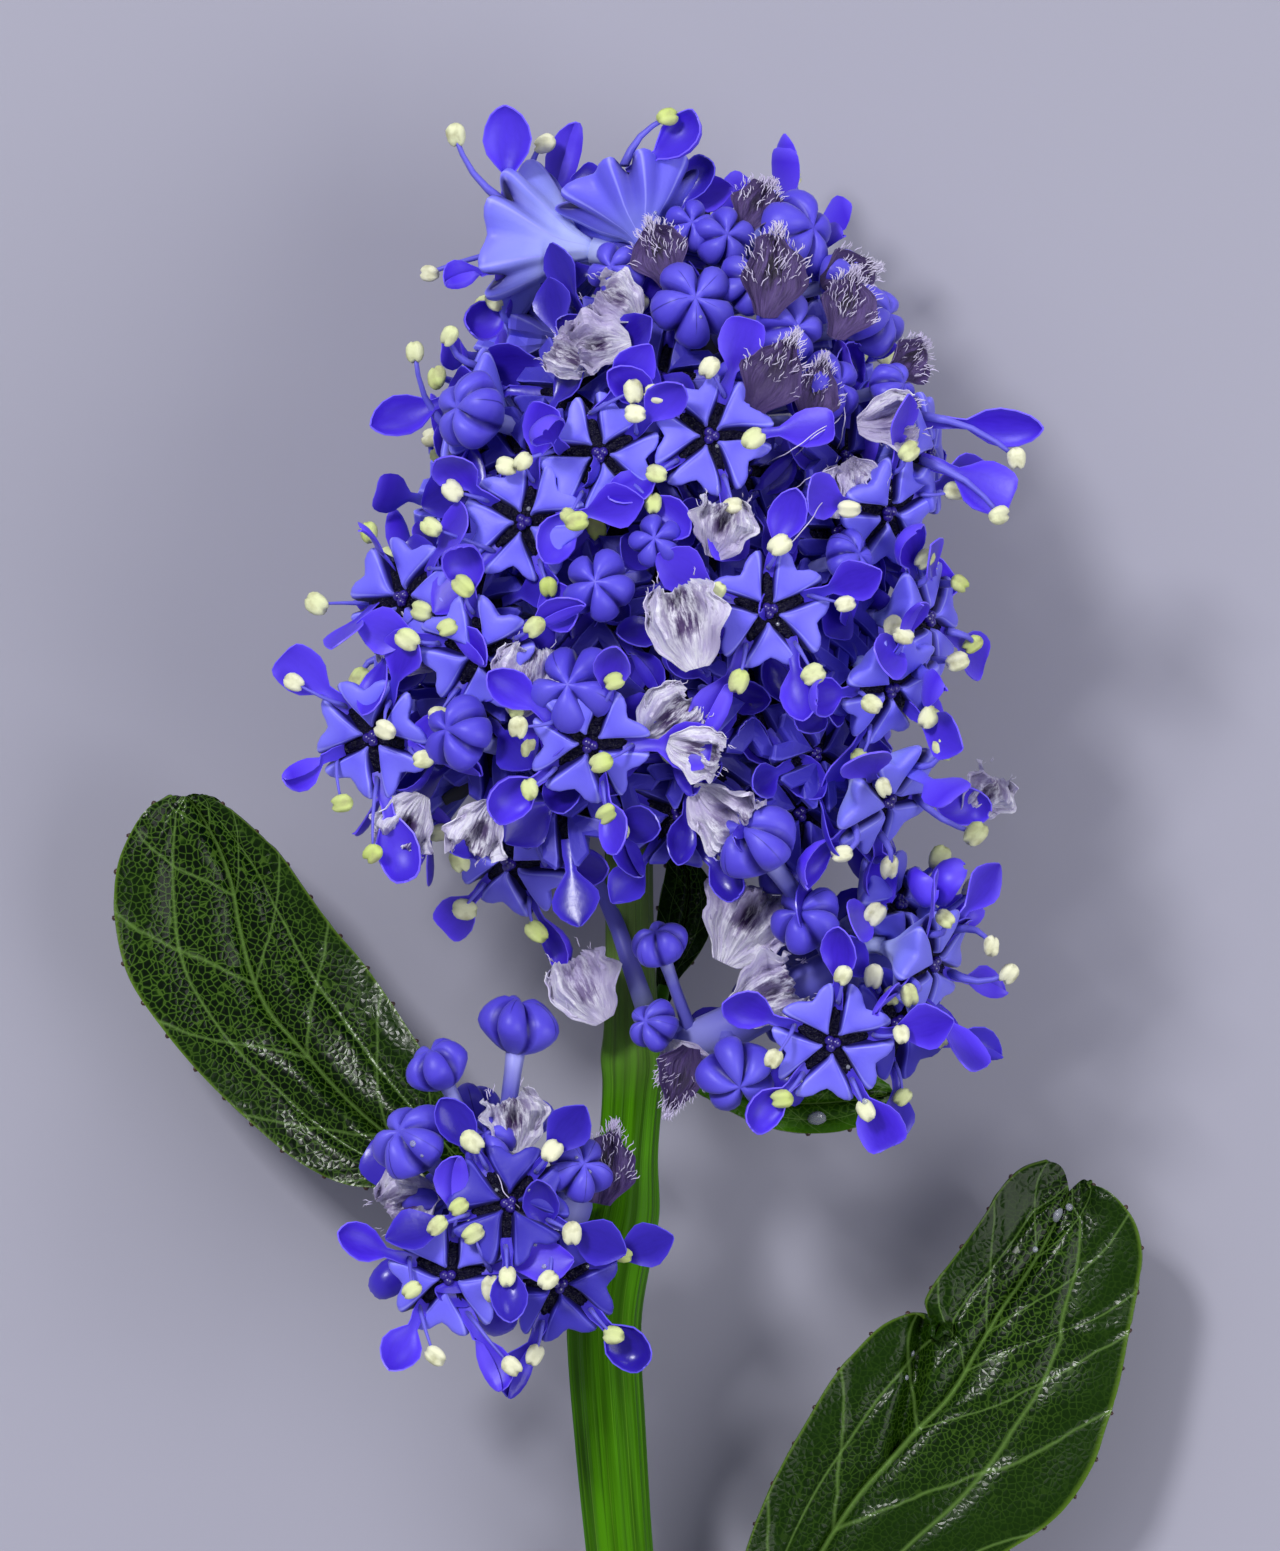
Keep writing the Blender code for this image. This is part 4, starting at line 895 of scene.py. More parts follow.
def zigzag(value):
    """A sharp fold: from -0.5 to 0.5 and back for each whole step of the value."""
    return abs(value % 1.0 - 0.5) * 2.0 - 0.5


def bract_shape(finish, fold, tear, seed):
    """A scale along +X, folded by a depth in mm and torn by a share of its length."""
    begin()
    bpy.ops.mesh.primitive_grid_add(x_subdivisions=18, y_subdivisions=26, size=1.0)
    bract = bpy.context.object
    bract.name = finish + " bract"
    for vert in bract.data.vertices:
        share, side = vert.co.x + 0.5, vert.co.y * 2
        torn = tear * (0.5 + 0.5 * noise.noise(Vector((side * 2.2, seed, 0.0))))
        torn += TOOTH_DEPTH * (zigzag(side * BRACT_TEETH + seed) + 0.5) * (1.0 if finish == "pale" else 0.3)
        out, height, half_width, rise = eased(BRACT_STATIONS[finish], share * (1.0 - torn * share ** 3))
        crease = fold * zigzag(side * BRACT_FOLDS + seed + 0.5 * share) + 0.16 * fold * zigzag(side * BRACT_PLEATS)
        crease += 2.0 * fold * noise.noise(Vector((share * 3.4, side * 2.8, seed)))
        crease += 0.9 * fold * abs(noise.noise(Vector((share * 6.5, side * 5.5, seed + 9.0))))
        ragged = 1.0 + 0.40 * noise.noise(Vector((share * 5.0, side, seed + 4.0))) * abs(side)
        vert.co = (out, half_width * side * ragged,
                   height + rise * side * side + crease * min(1.0, half_width * 1.4) * (0.3 + share))
    modified(bract, "SOLIDIFY", thickness=BRACT_THICKNESS, offset=0.0)
    shade(bract, 35.0)
    return bract


bracts = {"pale": [bract_shape("pale", 0.26, 0.22, 1.0), bract_shape("pale", 0.38, 0.34, 7.4)],
          "dark": [bract_shape("dark", 0.12, 0.10, 3.0), bract_shape("dark", 0.20, 0.22, 5.3)]}
hair = tube("hair", [Vector((0.0, 0.0, 0.0)), Vector((0.4, 0.04, 0.14)), Vector((0.8, -0.06, 0.10)),
                     Vector((1.0, 0.06, -0.06))], [HAIR_RADIUS * share for share in (1.2, 1.0, 0.8, 0.4)], sides=0)


# The finishes of the flowers. A calyx is pale lilac-blue at its cup, periwinkle where the sepals fold
# over, and near black down in the channels, which is painted shade; a petal is darkest where it is hollow, also
# painted shade.
STALK_LILAC = (0.115, 0.110, 0.500)
STALK_PALE = (0.36, 0.37, 0.78)
STALK_OLIVE = (0.10, 0.12, 0.12)
THROAT_PALE = (0.50, 0.57, 0.90)
CUP_BLUE = (0.130, 0.125, 0.700)
SEPAL_BLUE = (0.120, 0.105, 0.740)
SEPAL_LIGHT = (0.190, 0.180, 0.860)
SEPAL_EDGE = (0.34, 0.34, 0.94)
CHANNEL_SHADE = (0.006, 0.003, 0.090)
PETAL_HOLLOW_SHADE = (0.026, 0.004, 0.400)
PETAL_BLUE = (0.056, 0.018, 0.640)
PETAL_PALE = (0.110, 0.062, 0.800)
PETAL_RIM_HIGHLIGHT = (0.150, 0.098, 0.880)
CLAW_BLUE = (0.046, 0.030, 0.470)
CLAW_PALE = (0.110, 0.110, 0.620)
NECTAR_BLACK = (0.002, 0.002, 0.007)
PISTIL_VIOLET = (0.030, 0.012, 0.260)
ANTHER_CREAM = (0.70, 0.70, 0.50)
ANTHER_GREEN = (0.46, 0.56, 0.14)
ANTHER_PIT = (0.34, 0.33, 0.17)
BUD_BLUE = (0.070, 0.050, 0.560)
BUD_LIGHT = (0.112, 0.095, 0.660)
BUD_VALLEY_SHADE = (0.012, 0.005, 0.200)
BLACK, WHITE = (0.0, 0.0, 0.0), (1.0, 1.0, 1.0)


def petal_like(name, roughness=0.46):
    """A material with the soft, nearly matte face of a petal."""
    return new_material(name, roughness, Specular_IOR_Level=0.32, Sheen_Weight=0.08, Sheen_Roughness=0.4)


def calyx_finish(name, throat, cup, sepal, light=SEPAL_LIGHT, rim=SEPAL_EDGE):
    """A calyx, from its stalk over the rim of its cup to the sepals' tips, with painted shade dark down in its
    channels.
    """
    tree, shader, made = petal_like(name)
    along, across = parted(tree, coordinates_of(tree, "UV"))
    lengthwise = ramp_of(tree, along, (0.03, throat), (0.15, throat), (0.26, cup), (0.38, sepal),
                         (0.48, light), (0.74, sepal), (0.88, light))
    # Painted shade: the channels between the sepals go near black, above the rim of the cup.
    channel_shade_mask = ramp_of(tree, across, (0.56, BLACK), (0.70, WHITE))
    over_rim = ramp_of(tree, along, (0.16, BLACK), (0.30, (0.30, 0.30, 0.30)), (0.46, WHITE))
    depth = blend_of(tree, 1.0, channel_shade_mask, over_rim, "MULTIPLY")
    edge = ramp_of(tree, across, (0.44, BLACK), (0.50, (0.80, 0.80, 0.80)), (0.55, BLACK))
    place = coordinates_of(tree)
    tone = ramp_of(tree, noise_of(tree, place, 300.0, 1.0), (0.35, BLACK), (0.65, (0.6, 0.6, 0.6)))
    body = blend_of(tree, tone, lengthwise, sepal)
    body = blend_of(tree, edge, body, rim)
    tree.links.new(blend_of(tree, depth, body, CHANNEL_SHADE), shader.inputs["Base Color"])
    bump_of(tree, shader, noise_of(tree, place, 9000.0), 0.20, 0.00003)
    return made


calyx_skin = calyx_finish("calyx skin", (0.20, 0.23, 0.68), CUP_BLUE, SEPAL_BLUE)
# The deep finishes are darker copies of the calyx and the petal: on the flowers deep in the head and under the
# clusters they are painted shade, and on the left cluster's wet flowers the darkening of wet petals.
shaded_and_wet_calyx_skin = calyx_finish("deep calyx skin", (0.05, 0.05, 0.34), (0.032, 0.026, 0.330), (0.028, 0.020, 0.340),
                               (0.052, 0.042, 0.460), (0.12, 0.11, 0.62))
pale_calyx_skin = calyx_finish("pale calyx skin", THROAT_PALE, (0.26, 0.29, 0.80), (0.17, 0.17, 0.78))
def petal_finish(name, roughness, deep, blue, pale, rim):
    """A petal, with painted shade deepest in its hollow and a painted highlight lightest along its rim."""
    tree, shader, made = petal_like(name, roughness)
    along, across = parted(tree, coordinates_of(tree, "UV"))
    away = sum_of(tree, "ABSOLUTE", across)
    # Painted shade: the inside is darkest down in the petal's hollow.
    inside = ramp_of(tree, away, (0.0, deep), (0.40, deep), (0.78, blue), (1.0, pale))
    veins = noise_of(tree, coordinates_of(tree, "UV"), 6.0, 4.0)
    inside = blend_of(tree, sum_of(tree, "MULTIPLY", veins, 0.7), inside, blue)
    tip = ramp_of(tree, along, (0.0, (0.9, 0.9, 0.9)), (0.34, (0.7, 0.7, 0.7)), (0.46, BLACK))
    inside = blend_of(tree, tip, inside, CLAW_BLUE)
    outside = ramp_of(tree, along, (0.20, CLAW_PALE), (0.48, pale), (0.85, blue), (1.0, pale))
    is_outside = sum_of(tree, "GREATER_THAN", across, OUTSIDE / 2)
    # Painted highlight: the rim faces take the lightest colour.
    is_rim = sum_of(tree, "GREATER_THAN", across, (OUTSIDE + RIM) / 2)
    body = blend_of(tree, is_rim, blend_of(tree, is_outside, inside, outside), rim)
    tone = ramp_of(tree, noise_of(tree, coordinates_of(tree), 340.0, 1.0), (0.40, BLACK), (0.66, (0.45, 0.45, 0.45)))
    tree.links.new(blend_of(tree, tone, body, pale), shader.inputs["Base Color"])
    bump_of(tree, shader, noise_of(tree, coordinates_of(tree), 7000.0), 0.15, 0.00003)
    return made


petal_skin = petal_finish("petal skin", 0.42, PETAL_HOLLOW_SHADE, PETAL_BLUE, PETAL_PALE, PETAL_RIM_HIGHLIGHT)
# Painted shade for the flowers deep in the head and under the clusters, and wet darkening for the left cluster.
shaded_and_wet_petal_skin = petal_finish("deep petal skin", 0.26, (0.010, 0.002, 0.200), (0.026, 0.010, 0.380),
                               (0.055, 0.034, 0.520), (0.110, 0.080, 0.700))
tree, shader, disc_skin = new_material("nectar disc", 0.16, Specular_IOR_Level=0.12)
wet = noise_of(tree, coordinates_of(tree), 6500.0)
tree.links.new(blend_of(tree, wet, NECTAR_BLACK, (0.008, 0.006, 0.026)), shader.inputs["Base Color"])
bump_of(tree, shader, wet, 1.0, 0.00020)

tree, shader, pistil_skin = new_material("pistil", 0.22, Coat_Weight=0.5, Coat_Roughness=0.1)
tint = noise_of(tree, coordinates_of(tree), 4000.0)
tree.links.new(blend_of(tree, tint, PISTIL_VIOLET, (0.012, 0.005, 0.11)), shader.inputs["Base Color"])

tree, shader, filament_skin = petal_like("filament")
tint = noise_of(tree, coordinates_of(tree), 1500.0)
tree.links.new(blend_of(tree, tint, (0.07, 0.055, 0.50), (0.16, 0.15, 0.68)), shader.inputs["Base Color"])

tree, shader, anther_skin = new_material("anther", 0.66, Specular_IOR_Level=0.25)
which = ramp_of(tree, noise_of(tree, coordinates_of(tree), 260.0, 1.0), (0.42, BLACK), (0.66, WHITE))
grain = noise_of(tree, coordinates_of(tree), 2600.0)
pit = ramp_of(tree, grain, (0.30, (0.7, 0.7, 0.7)), (0.50, BLACK))
cream = blend_of(tree, which, ANTHER_CREAM, ANTHER_GREEN)
tree.links.new(blend_of(tree, pit, cream, ANTHER_PIT), shader.inputs["Base Color"])
bump_of(tree, shader, grain, 0.5, 0.00008)

tree, shader, stalk_skin = petal_like("stalk")
along, across = parted(tree, coordinates_of(tree, "UV"))
tint = noise_of(tree, coordinates_of(tree), 800.0)
body = ramp_of(tree, along, (0.0, STALK_LILAC), (0.10, STALK_PALE), (0.35, STALK_LILAC), (0.9, STALK_LILAC),
               (1.0, STALK_OLIVE))
tint = sum_of(tree, "MULTIPLY", tint, 0.5)
tree.links.new(blend_of(tree, tint, body, STALK_LILAC), shader.inputs["Base Color"])

tree, shader, pale_stalk_skin = petal_like("pale stalk")
tint = noise_of(tree, coordinates_of(tree), 800.0)
tree.links.new(blend_of(tree, tint, THROAT_PALE, (0.30, 0.33, 0.70)), shader.inputs["Base Color"])

tree, shader, bud_skin = petal_like("bud skin", 0.44)
along, across = parted(tree, coordinates_of(tree, "UV"))
lengthwise = ramp_of(tree, along, (0.05, CUP_BLUE), (0.30, BUD_LIGHT), (0.60, BUD_BLUE), (0.95, BUD_LIGHT))
# Painted shade: the valleys between the bud's sepals are darkened.
valley_shade = ramp_of(tree, across, (0.70, BLACK), (0.93, (0.95, 0.95, 0.95)))
seam_line = ramp_of(tree, across, (0.0, (0.9, 0.9, 0.9)), (0.045, BLACK))
seamed = ramp_of(tree, noise_of(tree, coordinates_of(tree), 420.0, 0.0), (0.55, BLACK), (0.61, WHITE))
seam = blend_of(tree, 1.0, seam_line, seamed, "MULTIPLY")
tone = ramp_of(tree, noise_of(tree, coordinates_of(tree), 300.0, 1.0), (0.35, BLACK), (0.65, WHITE))
body = blend_of(tree, tone, lengthwise, BUD_BLUE)
body = blend_of(tree, valley_shade, body, BUD_VALLEY_SHADE)
tree.links.new(blend_of(tree, seam, body, (0.010, 0.004, 0.150)), shader.inputs["Base Color"])
bump_of(tree, shader, noise_of(tree, coordinates_of(tree), 6000.0), 0.20, 0.00003)


def bract_finish(name, light, mid, dark):
    """A papery scale, streaked along its length and darkest in its hollow."""
    tree, shader, made = new_material(name, 0.50, Specular_IOR_Level=0.5)
    place = coordinates_of(tree, "UV")
    stretch = tree.nodes.new("ShaderNodeMapping")
    stretch.inputs["Scale"].default_value = (3.5, 13.0, 1.0)
    tree.links.new(place, stretch.inputs["Vector"])
    streaks = noise_of(tree, stretch.outputs["Vector"], 1.0, 6.0, 0.70)
    body = ramp_of(tree, streaks, (0.36, mid), (0.56, light))
    along, across = parted(tree, place)
    middle = sum_of(tree, "ABSOLUTE", sum_of(tree, "SUBTRACT", across, 0.5))
    in_middle = ramp_of(tree, middle, (0.12, WHITE), (0.30, BLACK))
    up_it = ramp_of(tree, along, (0.22, BLACK), (0.42, WHITE), (0.85, WHITE), (1.0, (0.2, 0.2, 0.2)))
    where = blend_of(tree, 1.0, in_middle, up_it, "MULTIPLY")
    stained = blend_of(tree, 1.0, where, ramp_of(tree, streaks, (0.44, WHITE), (0.58, BLACK)), "MULTIPLY")
    body = blend_of(tree, stained, body, dark)
    patches = noise_of(tree, coordinates_of(tree), 520.0, 2.0)
    patchy = ramp_of(tree, patches, (0.46, BLACK), (0.60, (0.70, 0.70, 0.70)))
    tree.links.new(blend_of(tree, patchy, body, mid), shader.inputs["Base Color"])
    bump_of(tree, shader, streaks, 0.8, 0.00014)
    return made


pale_scale = bract_finish("pale scale", (0.72, 0.71, 0.80), (0.42, 0.36, 0.60), (0.060, 0.028, 0.120))
dark_scale = bract_finish("dark scale", (0.085, 0.048, 0.190), (0.032, 0.014, 0.085), (0.008, 0.003, 0.018))
tree, shader, hair_skin = new_material("white hair", 0.4)
tint = noise_of(tree, coordinates_of(tree), 700.0)
tree.links.new(blend_of(tree, tint, (0.74, 0.72, 0.84), (0.40, 0.32, 0.58)), shader.inputs["Base Color"])
# Painted shade: the head's bare core and the twig in the gap on the left are near black for the shade they lie in.
tree, shader, core_shade_skin = new_material("core shade", 0.8)
tint = noise_of(tree, coordinates_of(tree), 900.0)
tree.links.new(blend_of(tree, tint, (0.014, 0.009, 0.045), (0.030, 0.036, 0.016)), shader.inputs["Base Color"])

# The head is a cone of flowers round its hidden axis. The flowers that the photograph shows stand at
# their own pixels, as high as the head's outline puts them, with the petals and anthers that show.
HEAD_AXIS = (
    # across, down, height, half width, half depth, radius of the bare core
    (628, 800, 7.1, 8.0, 6.9, 1.2), (632, 735, 7.2, 8.5, 7.1, 3.4), (640, 600, 7.1, 8.2, 7.1, 3.9),
    (662, 430, 6.6, 7.5, 6.5, 3.4), (676, 300, 5.8, 5.5, 5.3, 2.5), (684, 190, 5.2, 3.4, 3.4, 1.2),
)
BLOOM_SHARE = 0.80
HEAD_FLOWERS = {
    # across, down, facing, turn of the petals; then the petals' and the anthers' own pixels
    "trumpet_top_left": (520, 245, (-0.88, 0.12, -0.42), 20, ((510, 140), (572, 165), (462, 285), (480, 325)),
                         ((456, 140), (545, 147), (566, 145), (430, 276))),
    "back_turned_top": (628, 198, (-0.25, 0.80, -0.50), 50, ((685, 145), (710, 200), (598, 208)),
                        ((667, 123), (697, 187))),
    "ribbed_left": (466, 410, (-0.70, 0.25, 0.10), 10, ((400, 422),), ((417, 356), (451, 340), (438, 381))),
    "star_centre_left": (600, 458, (0.00, 0.10, 1.00), 30, ((633, 372), (543, 430), (668, 400)),
                         ((634, 395), (634, 418), (508, 470))),
    "star_centre": (710, 440, (0.05, 0.10, 1.00), 0, ((740, 345), (810, 435), (725, 540)),
                    ((752, 443), (708, 372), (732, 509))),
    "star_left": (525, 525, (-0.15, 0.05, 1.00), 5, ((545, 430), (455, 470)),
                  ((525, 465), (454, 494), (578, 525), (433, 530))),
    "star_right": (768, 612, (0.08, -0.08, 1.00), 20, ((787, 515), (855, 580), (800, 700), (715, 715), (680, 570)),
                   ((779, 548), (716, 594), (843, 606), (738, 682), (812, 676), (735, 725))),
    "oblique_left": (405, 600, (-0.50, 0.10, 0.80), 40, ((380, 540), (350, 640)),
                     ((320, 606), (423, 613), (462, 572))),
    "flank_left": (375, 738, (-0.40, -0.15, 0.90), 62, ((305, 670), (300, 770), (360, 830), (405, 855), (358, 890)),
                   ((270, 745), (283, 827), (345, 803), (376, 853), (388, 730), (298, 683))),
    "low_centre": (590, 745, (-0.05, -0.35, 0.93), 1, ((620, 832),), ((603, 762), (616, 683), (520, 727))),
    "side_top_right": (925, 455, (0.95, 0.10, 0.20), 30, ((1005, 428), (985, 492)), ((1013, 461), (996, 518))),
    "body_right": (885, 515, (0.55, -0.30, 0.60), 10, (), ()),
    "side_right": (925, 620, (0.85, 0.00, 0.45), 55, ((925, 560),), ((956, 586), (954, 663), (890, 628))),
    "low_right": (888, 690, (0.55, -0.45, 0.60), 15, ((925, 680), (905, 725), (945, 735)),
                  ((926, 717), (868, 705))),
    "hanging_right": (885, 800, (0.60, -0.55, 0.45), 40, ((940, 785),), ((973, 833),)),
    "deep_left": (480, 655, (-0.30, -0.20, 0.90), 25, (), ()),
}
SUNKEN_FLOWERS = {"ribbed_left": 1.3}   # how much deeper they stand, in mm
PALE_FLOWERS = {"trumpet_top_left": 1.38, "hanging_right": 1.05}      # their size
LARGE_FLOWERS = {"back_turned_top": 1.22}
HEAD_BUDS = {
    # across, down, size
    "five_lobed_top": (693, 310, 1.14), "five_lobed_low": (575, 690, 1.14), "shaded_left": (462, 735, 1.00),
    "top_right": (792, 240, 1.12), "top_small": (722, 243, 0.80), "right_shoulder": (868, 325, 1.00),
    "shoulder_inner": (785, 335, 0.95), "shoulder_low": (825, 392, 0.92), "shaded_centre": (600, 590, 0.95),
    "between_stars": (655, 545, 0.70), "under_star": (845, 560, 0.75), "shoulder_outer": (888, 392, 0.72),
    "ribbed_left_front": (474, 417, 1.05), "top_left_small": (690, 232, 0.70), "silver_side": (618, 275, 0.80),
    "behind_tip": (745, 290, 0.80), "behind_shoulder": (840, 285, 0.80), "low_shoulder": (742, 390, 0.75),
}
HEAD_BRACTS = {
    # across, down, rise in mm over the outline, facing, turn in degrees, size, finish
    "silver_top": (630, 346, 0.1, (-0.10, 0.20, 1.0), 188, 0.80, "pale"),
    "silver_under": (600, 372, -0.4, (0.00, 0.30, 1.0), 160, 0.70, "pale"),
    "lilac_top": (640, 322, -0.2, (0.00, 0.30, 1.0), 150, 0.72, "pale"),
    "fuzzy_right": (855, 430, 0.3, (0.20, 0.10, 1.0), 8, 0.80, "pale"),
    "papery_centre": (698, 668, 0.6, (0.00, 0.00, 1.0), 105, 1.10, "pale"),
    "fringed": (668, 742, 0.2, (0.00, -0.30, 1.0), 345, 0.72, "pale"),
    "torn": (640, 740, -0.6, (0.00, -0.30, 1.0), 40, 0.90, "pale"),
    "pale_left": (520, 715, -0.1, (-0.10, 0.00, 1.0), 78, 0.90, "pale"),
    "papery_left": (440, 665, -0.8, (-0.30, 0.00, 1.0), 150, 0.80, "pale"),
    "hanging_left": (425, 795, -0.6, (-0.20, -0.30, 1.0), 245, 0.80, "pale"),
    "hanging_low": (492, 800, 0.2, (-0.10, -0.50, 0.9), 250, 0.80, "pale"),
    "white_right": (962, 815, 1.2, (0.30, -0.20, 1.0), 52, 0.72, "pale"),
    "edge_right": (845, 462, -0.1, (0.20, 0.00, 1.0), 300, 0.66, "pale"),
    "between_right": (835, 520, -0.4, (0.10, 0.00, 1.0), 80, 0.66, "pale"),
    "under_star": (712, 560, -0.2, (0.00, 0.00, 1.0), 75, 0.80, "pale"),
    "low_middle": (690, 790, -0.8, (0.00, -0.40, 1.0), 330, 0.95, "pale"),
    "dark_tip": (764, 322, 0.6, (0.10, 0.35, 1.0), 82, 1.05, "dark"),
    "dark_right": (832, 345, 0.4, (0.40, 0.30, 0.9), 74, 0.90, "dark"),
    "dark_inner": (752, 412, 0.4, (0.10, 0.10, 1.0), 60, 0.95, "dark"),
    "brown_tip": (742, 238, 0.0, (0.10, 0.60, 0.8), 66, 0.80, "dark"),
    "purple_left": (672, 290, 0.1, (-0.20, 0.40, 0.9), 108, 0.85, "dark"),
    "dark_edge": (884, 380, -0.2, (0.60, 0.20, 0.7), 40, 0.75, "dark"),
    "dark_low": (805, 425, -0.1, (0.20, 0.00, 1.0), 75, 0.75, "dark"),
    "dark_side": (820, 292, 0.0, (0.40, 0.40, 0.8), 30, 0.80, "dark"),
}
FILL_ROWS = (
    # down, leftmost, rightmost pixel, and how many flowers stand deeper in the head there
    (265, 630, 690, 1), (345, 560, 660, 1), (395, 540, 700, 2), (470, 480, 880, 4), (545, 440, 890, 4),
    (620, 425, 900, 4), (690, 410, 900, 5), (755, 430, 880, 4), (810, 500, 850, 3),
)
FILL_SHARE = 0.54
FILL_JITTER = 14
BACK_ROWS = ((250, 2, 1), (370, 2, 2), (500, 3, 1), (625, 3, 2), (745, 3, 2))
SIDE_ROWS = (262, 340, 425, 515, 605, 695, 770)      # the widest part, seen only from the side
SIDE_SHARE = 0.60
BACK_ARC = (math.radians(195.0), math.radians(345.0))
REST_BUDS = ((640, 760, 0.45), (520, 470, 0.75), (800, 480, 0.75))
REST_BUD_SIZE = 1.25
PEDICEL_RADIUS = 0.21
PETAL_REACH = PETAL_MIDDLE          # from the claw's root to the middle of the blade, in mm
STAMEN_REACH = 0.85
CLAW_ROOT = (0.85, -0.06)           # radius and height, in mm
STAMEN_ROOT = (1.05, 0.02)
STIR = 0.10                         # how far a flower's form departs from its neighbour's, in mm
dice = random.Random(7)


def aim(place, facing, turn_degrees, size=1.0):
    """A matrix that stands a flower at a place, its axis along facing and its petals turned."""
    axis = Vector(facing).normalized()
    side = Vector((1.0, 0.0, 0.0)) - axis * axis.x
    if side.length < 0.3:
        side = Vector((0.0, 1.0, 0.0)) - axis * axis.y
    side.normalize()
    stand = Matrix((side, axis.cross(side), axis)).transposed().to_4x4()
    turn = Matrix.Rotation(math.radians(turn_degrees), 4, "Z")
    return Matrix.Translation(place) @ stand @ turn @ Matrix.Scale(size * MM, 4)


def reaching(start, end, up, sizes):
    """A matrix that lays a shape's +X from one point towards another, its +Z turned towards up."""
    forward = (end - start).normalized()
    side = up.cross(forward).normalized()
    lift = forward.cross(side)
    frame_of = Matrix((forward, side, lift)).transposed().to_4x4()
    return Matrix.Translation(start) @ frame_of @ Matrix.Diagonal((*(size * MM for size in sizes), 1.0))


def template(piece):
    """The mesh of a shape that was modelled once, its own object removed."""
    mesh = piece.data
    mesh.materials.clear()
    bpy.data.objects.remove(piece)
    return mesh


def copied(mesh, matrix, stir=0.0):
    """One copy of a shape, its place taken into its own mesh, its form stirred a little."""
    copy = mesh.copy()
    if stir:
        start = Vector((dice.uniform(0, 90), dice.uniform(0, 90), dice.uniform(0, 90)))
        for vert in copy.vertices:
            vert.co += stir * noise.noise_vector(vert.co * 0.9 + start)
    copy.transform(matrix)
    return copy


def joined(name, meshes, look, slot, *nodes):
    """All the copies of one kind joined in one piece, pressed flat where it lies on the floor."""
    begin()
    for mesh in meshes:
        piece = bpy.data.objects.new(name, mesh)
        bpy.context.scene.collection.objects.link(piece)
        piece.select_set(True)
    bpy.context.view_layer.objects.active = piece
    if len(meshes) > 1:
        bpy.ops.object.join()
    piece.name = name
    for vert in piece.data.vertices:
        vert.co.z = max(vert.co.z, 0.0)
    fixed(piece, look, slot, *nodes)
    return piece


def stalk(start, middle, end, radius):
    """A stalk bent through a middle point, as a mesh, thicker where it is rooted."""
    points = [start.lerp(middle, t).lerp(middle.lerp(end, t), t) for t in (0.0, 0.2, 0.4, 0.6, 0.8, 1.0)]
    return template(tube("stalk", points, [radius * MM * grown for grown in (1.15, 1.0, 0.95, 1.0, 1.1, 1.4)]))


def bloom(parts, place, facing, turn, root, petal_spots=(), anther_spots=(), size=1.0, stamens=LOBES, back=False,
          tint=""):
    """One flower: its calyx on its stalk, disc and pistil, and a petal and a stamen in each channel.

    A petal or a stamen that the photograph shows goes to its own pixel, and the rest follow the star.
    """
    stand = aim(place, facing, turn, size)
    axis = Vector(facing).normalized()
    parts[tint + "calyces"].append(copied(plain_calyx_mesh if back else calyx_mesh, stand, STIR))
    parts["discs"].append(copied(disc_mesh, stand))
    parts["pistils"].append(copied(pistil_mesh, stand))
    foot = stand @ Vector((0.0, 0.0, -1.45))
    bend = foot - axis * (foot - root).length * 0.45
    parts[tint.replace("deep ", "") + "stalks"].append(stalk(foot, bend, root, PEDICEL_RADIUS * size))
    shown = {"petals": list(petal_spots), "anthers": list(anther_spots)}
    with_stamen = sorted(dice.sample(range(LOBES), stamens))
    side_view = bool(petal_spots) and facing[2] < 0.3
    widest = (3.2 if side_view else 1.8) * MM
    for lobe in range(LOBES):
        for kind, (radius, height), reach in (("petals", CLAW_ROOT, PETAL_REACH),
                                              ("anthers", STAMEN_ROOT, STAMEN_REACH)):
            angle = lobe * LOBE_TURN
            start = stand @ Vector((radius * math.cos(angle), radius * math.sin(angle), height))
            lift = math.radians(dice.uniform(-4, 16) if kind == "petals" else dice.uniform(22, 42))
            drift = angle + math.radians(dice.uniform(-7, 7))
            outward = Vector((math.cos(drift) * math.cos(lift), math.sin(drift) * math.cos(lift), math.sin(lift)))
            end = start + (stand.to_3x3() @ outward) * reach
            up = axis
            near = sorted(shown[kind], key=lambda pixel: (spot(*pixel, end.z / MM) - end).length)
            if near and (spot(*near[0], end.z / MM) - end).length < widest:
                shown[kind].remove(near[0])
                if facing[2] < 0.3:
                    up = Vector((0.0, 0.2, 1.0))        # its face is turned to the front
                flat = spot(*near[0], start.z / MM)
                rise = math.sqrt(max(0.0, (reach * MM) ** 2 - (flat - start).length ** 2))
                least = 0.20 * MM if kind == "petals" else 0.55 * MM
                end = flat + Vector((0.0, 0.0, max(rise, least) if facing[2] > -0.2 else rise * 0.3))
            elif side_view or (kind == "anthers" and lobe not in with_stamen):
                continue
            if kind == "petals":
                grow(parts["deep petals" if tint == "deep " else "petals"], start, end, up, min(size, 1.05))
            else:
                stamen(parts, start, end, axis, 0.62 if facing[2] > 0.5 else 1.1)


def grow(petals_made, start, end, axis, size):
    """One petal from its claw's root to the middle of its blade, rolled a little to one side."""
    length = (end - start).length / MM / PETAL_REACH
    broad = size * min(max(length, 0.88), 1.1) * dice.uniform(0.92, 1.10)
    roll = Matrix.Rotation(math.radians(dice.uniform(-28, 28)), 4, end - start)
    shape = dice.choice(petal_meshes)
    flip = dice.choice((-1.0, 1.0))
    petals_made.append(copied(shape[flip], reaching(start, end, roll @ axis, (length, broad, broad)), 0.06))


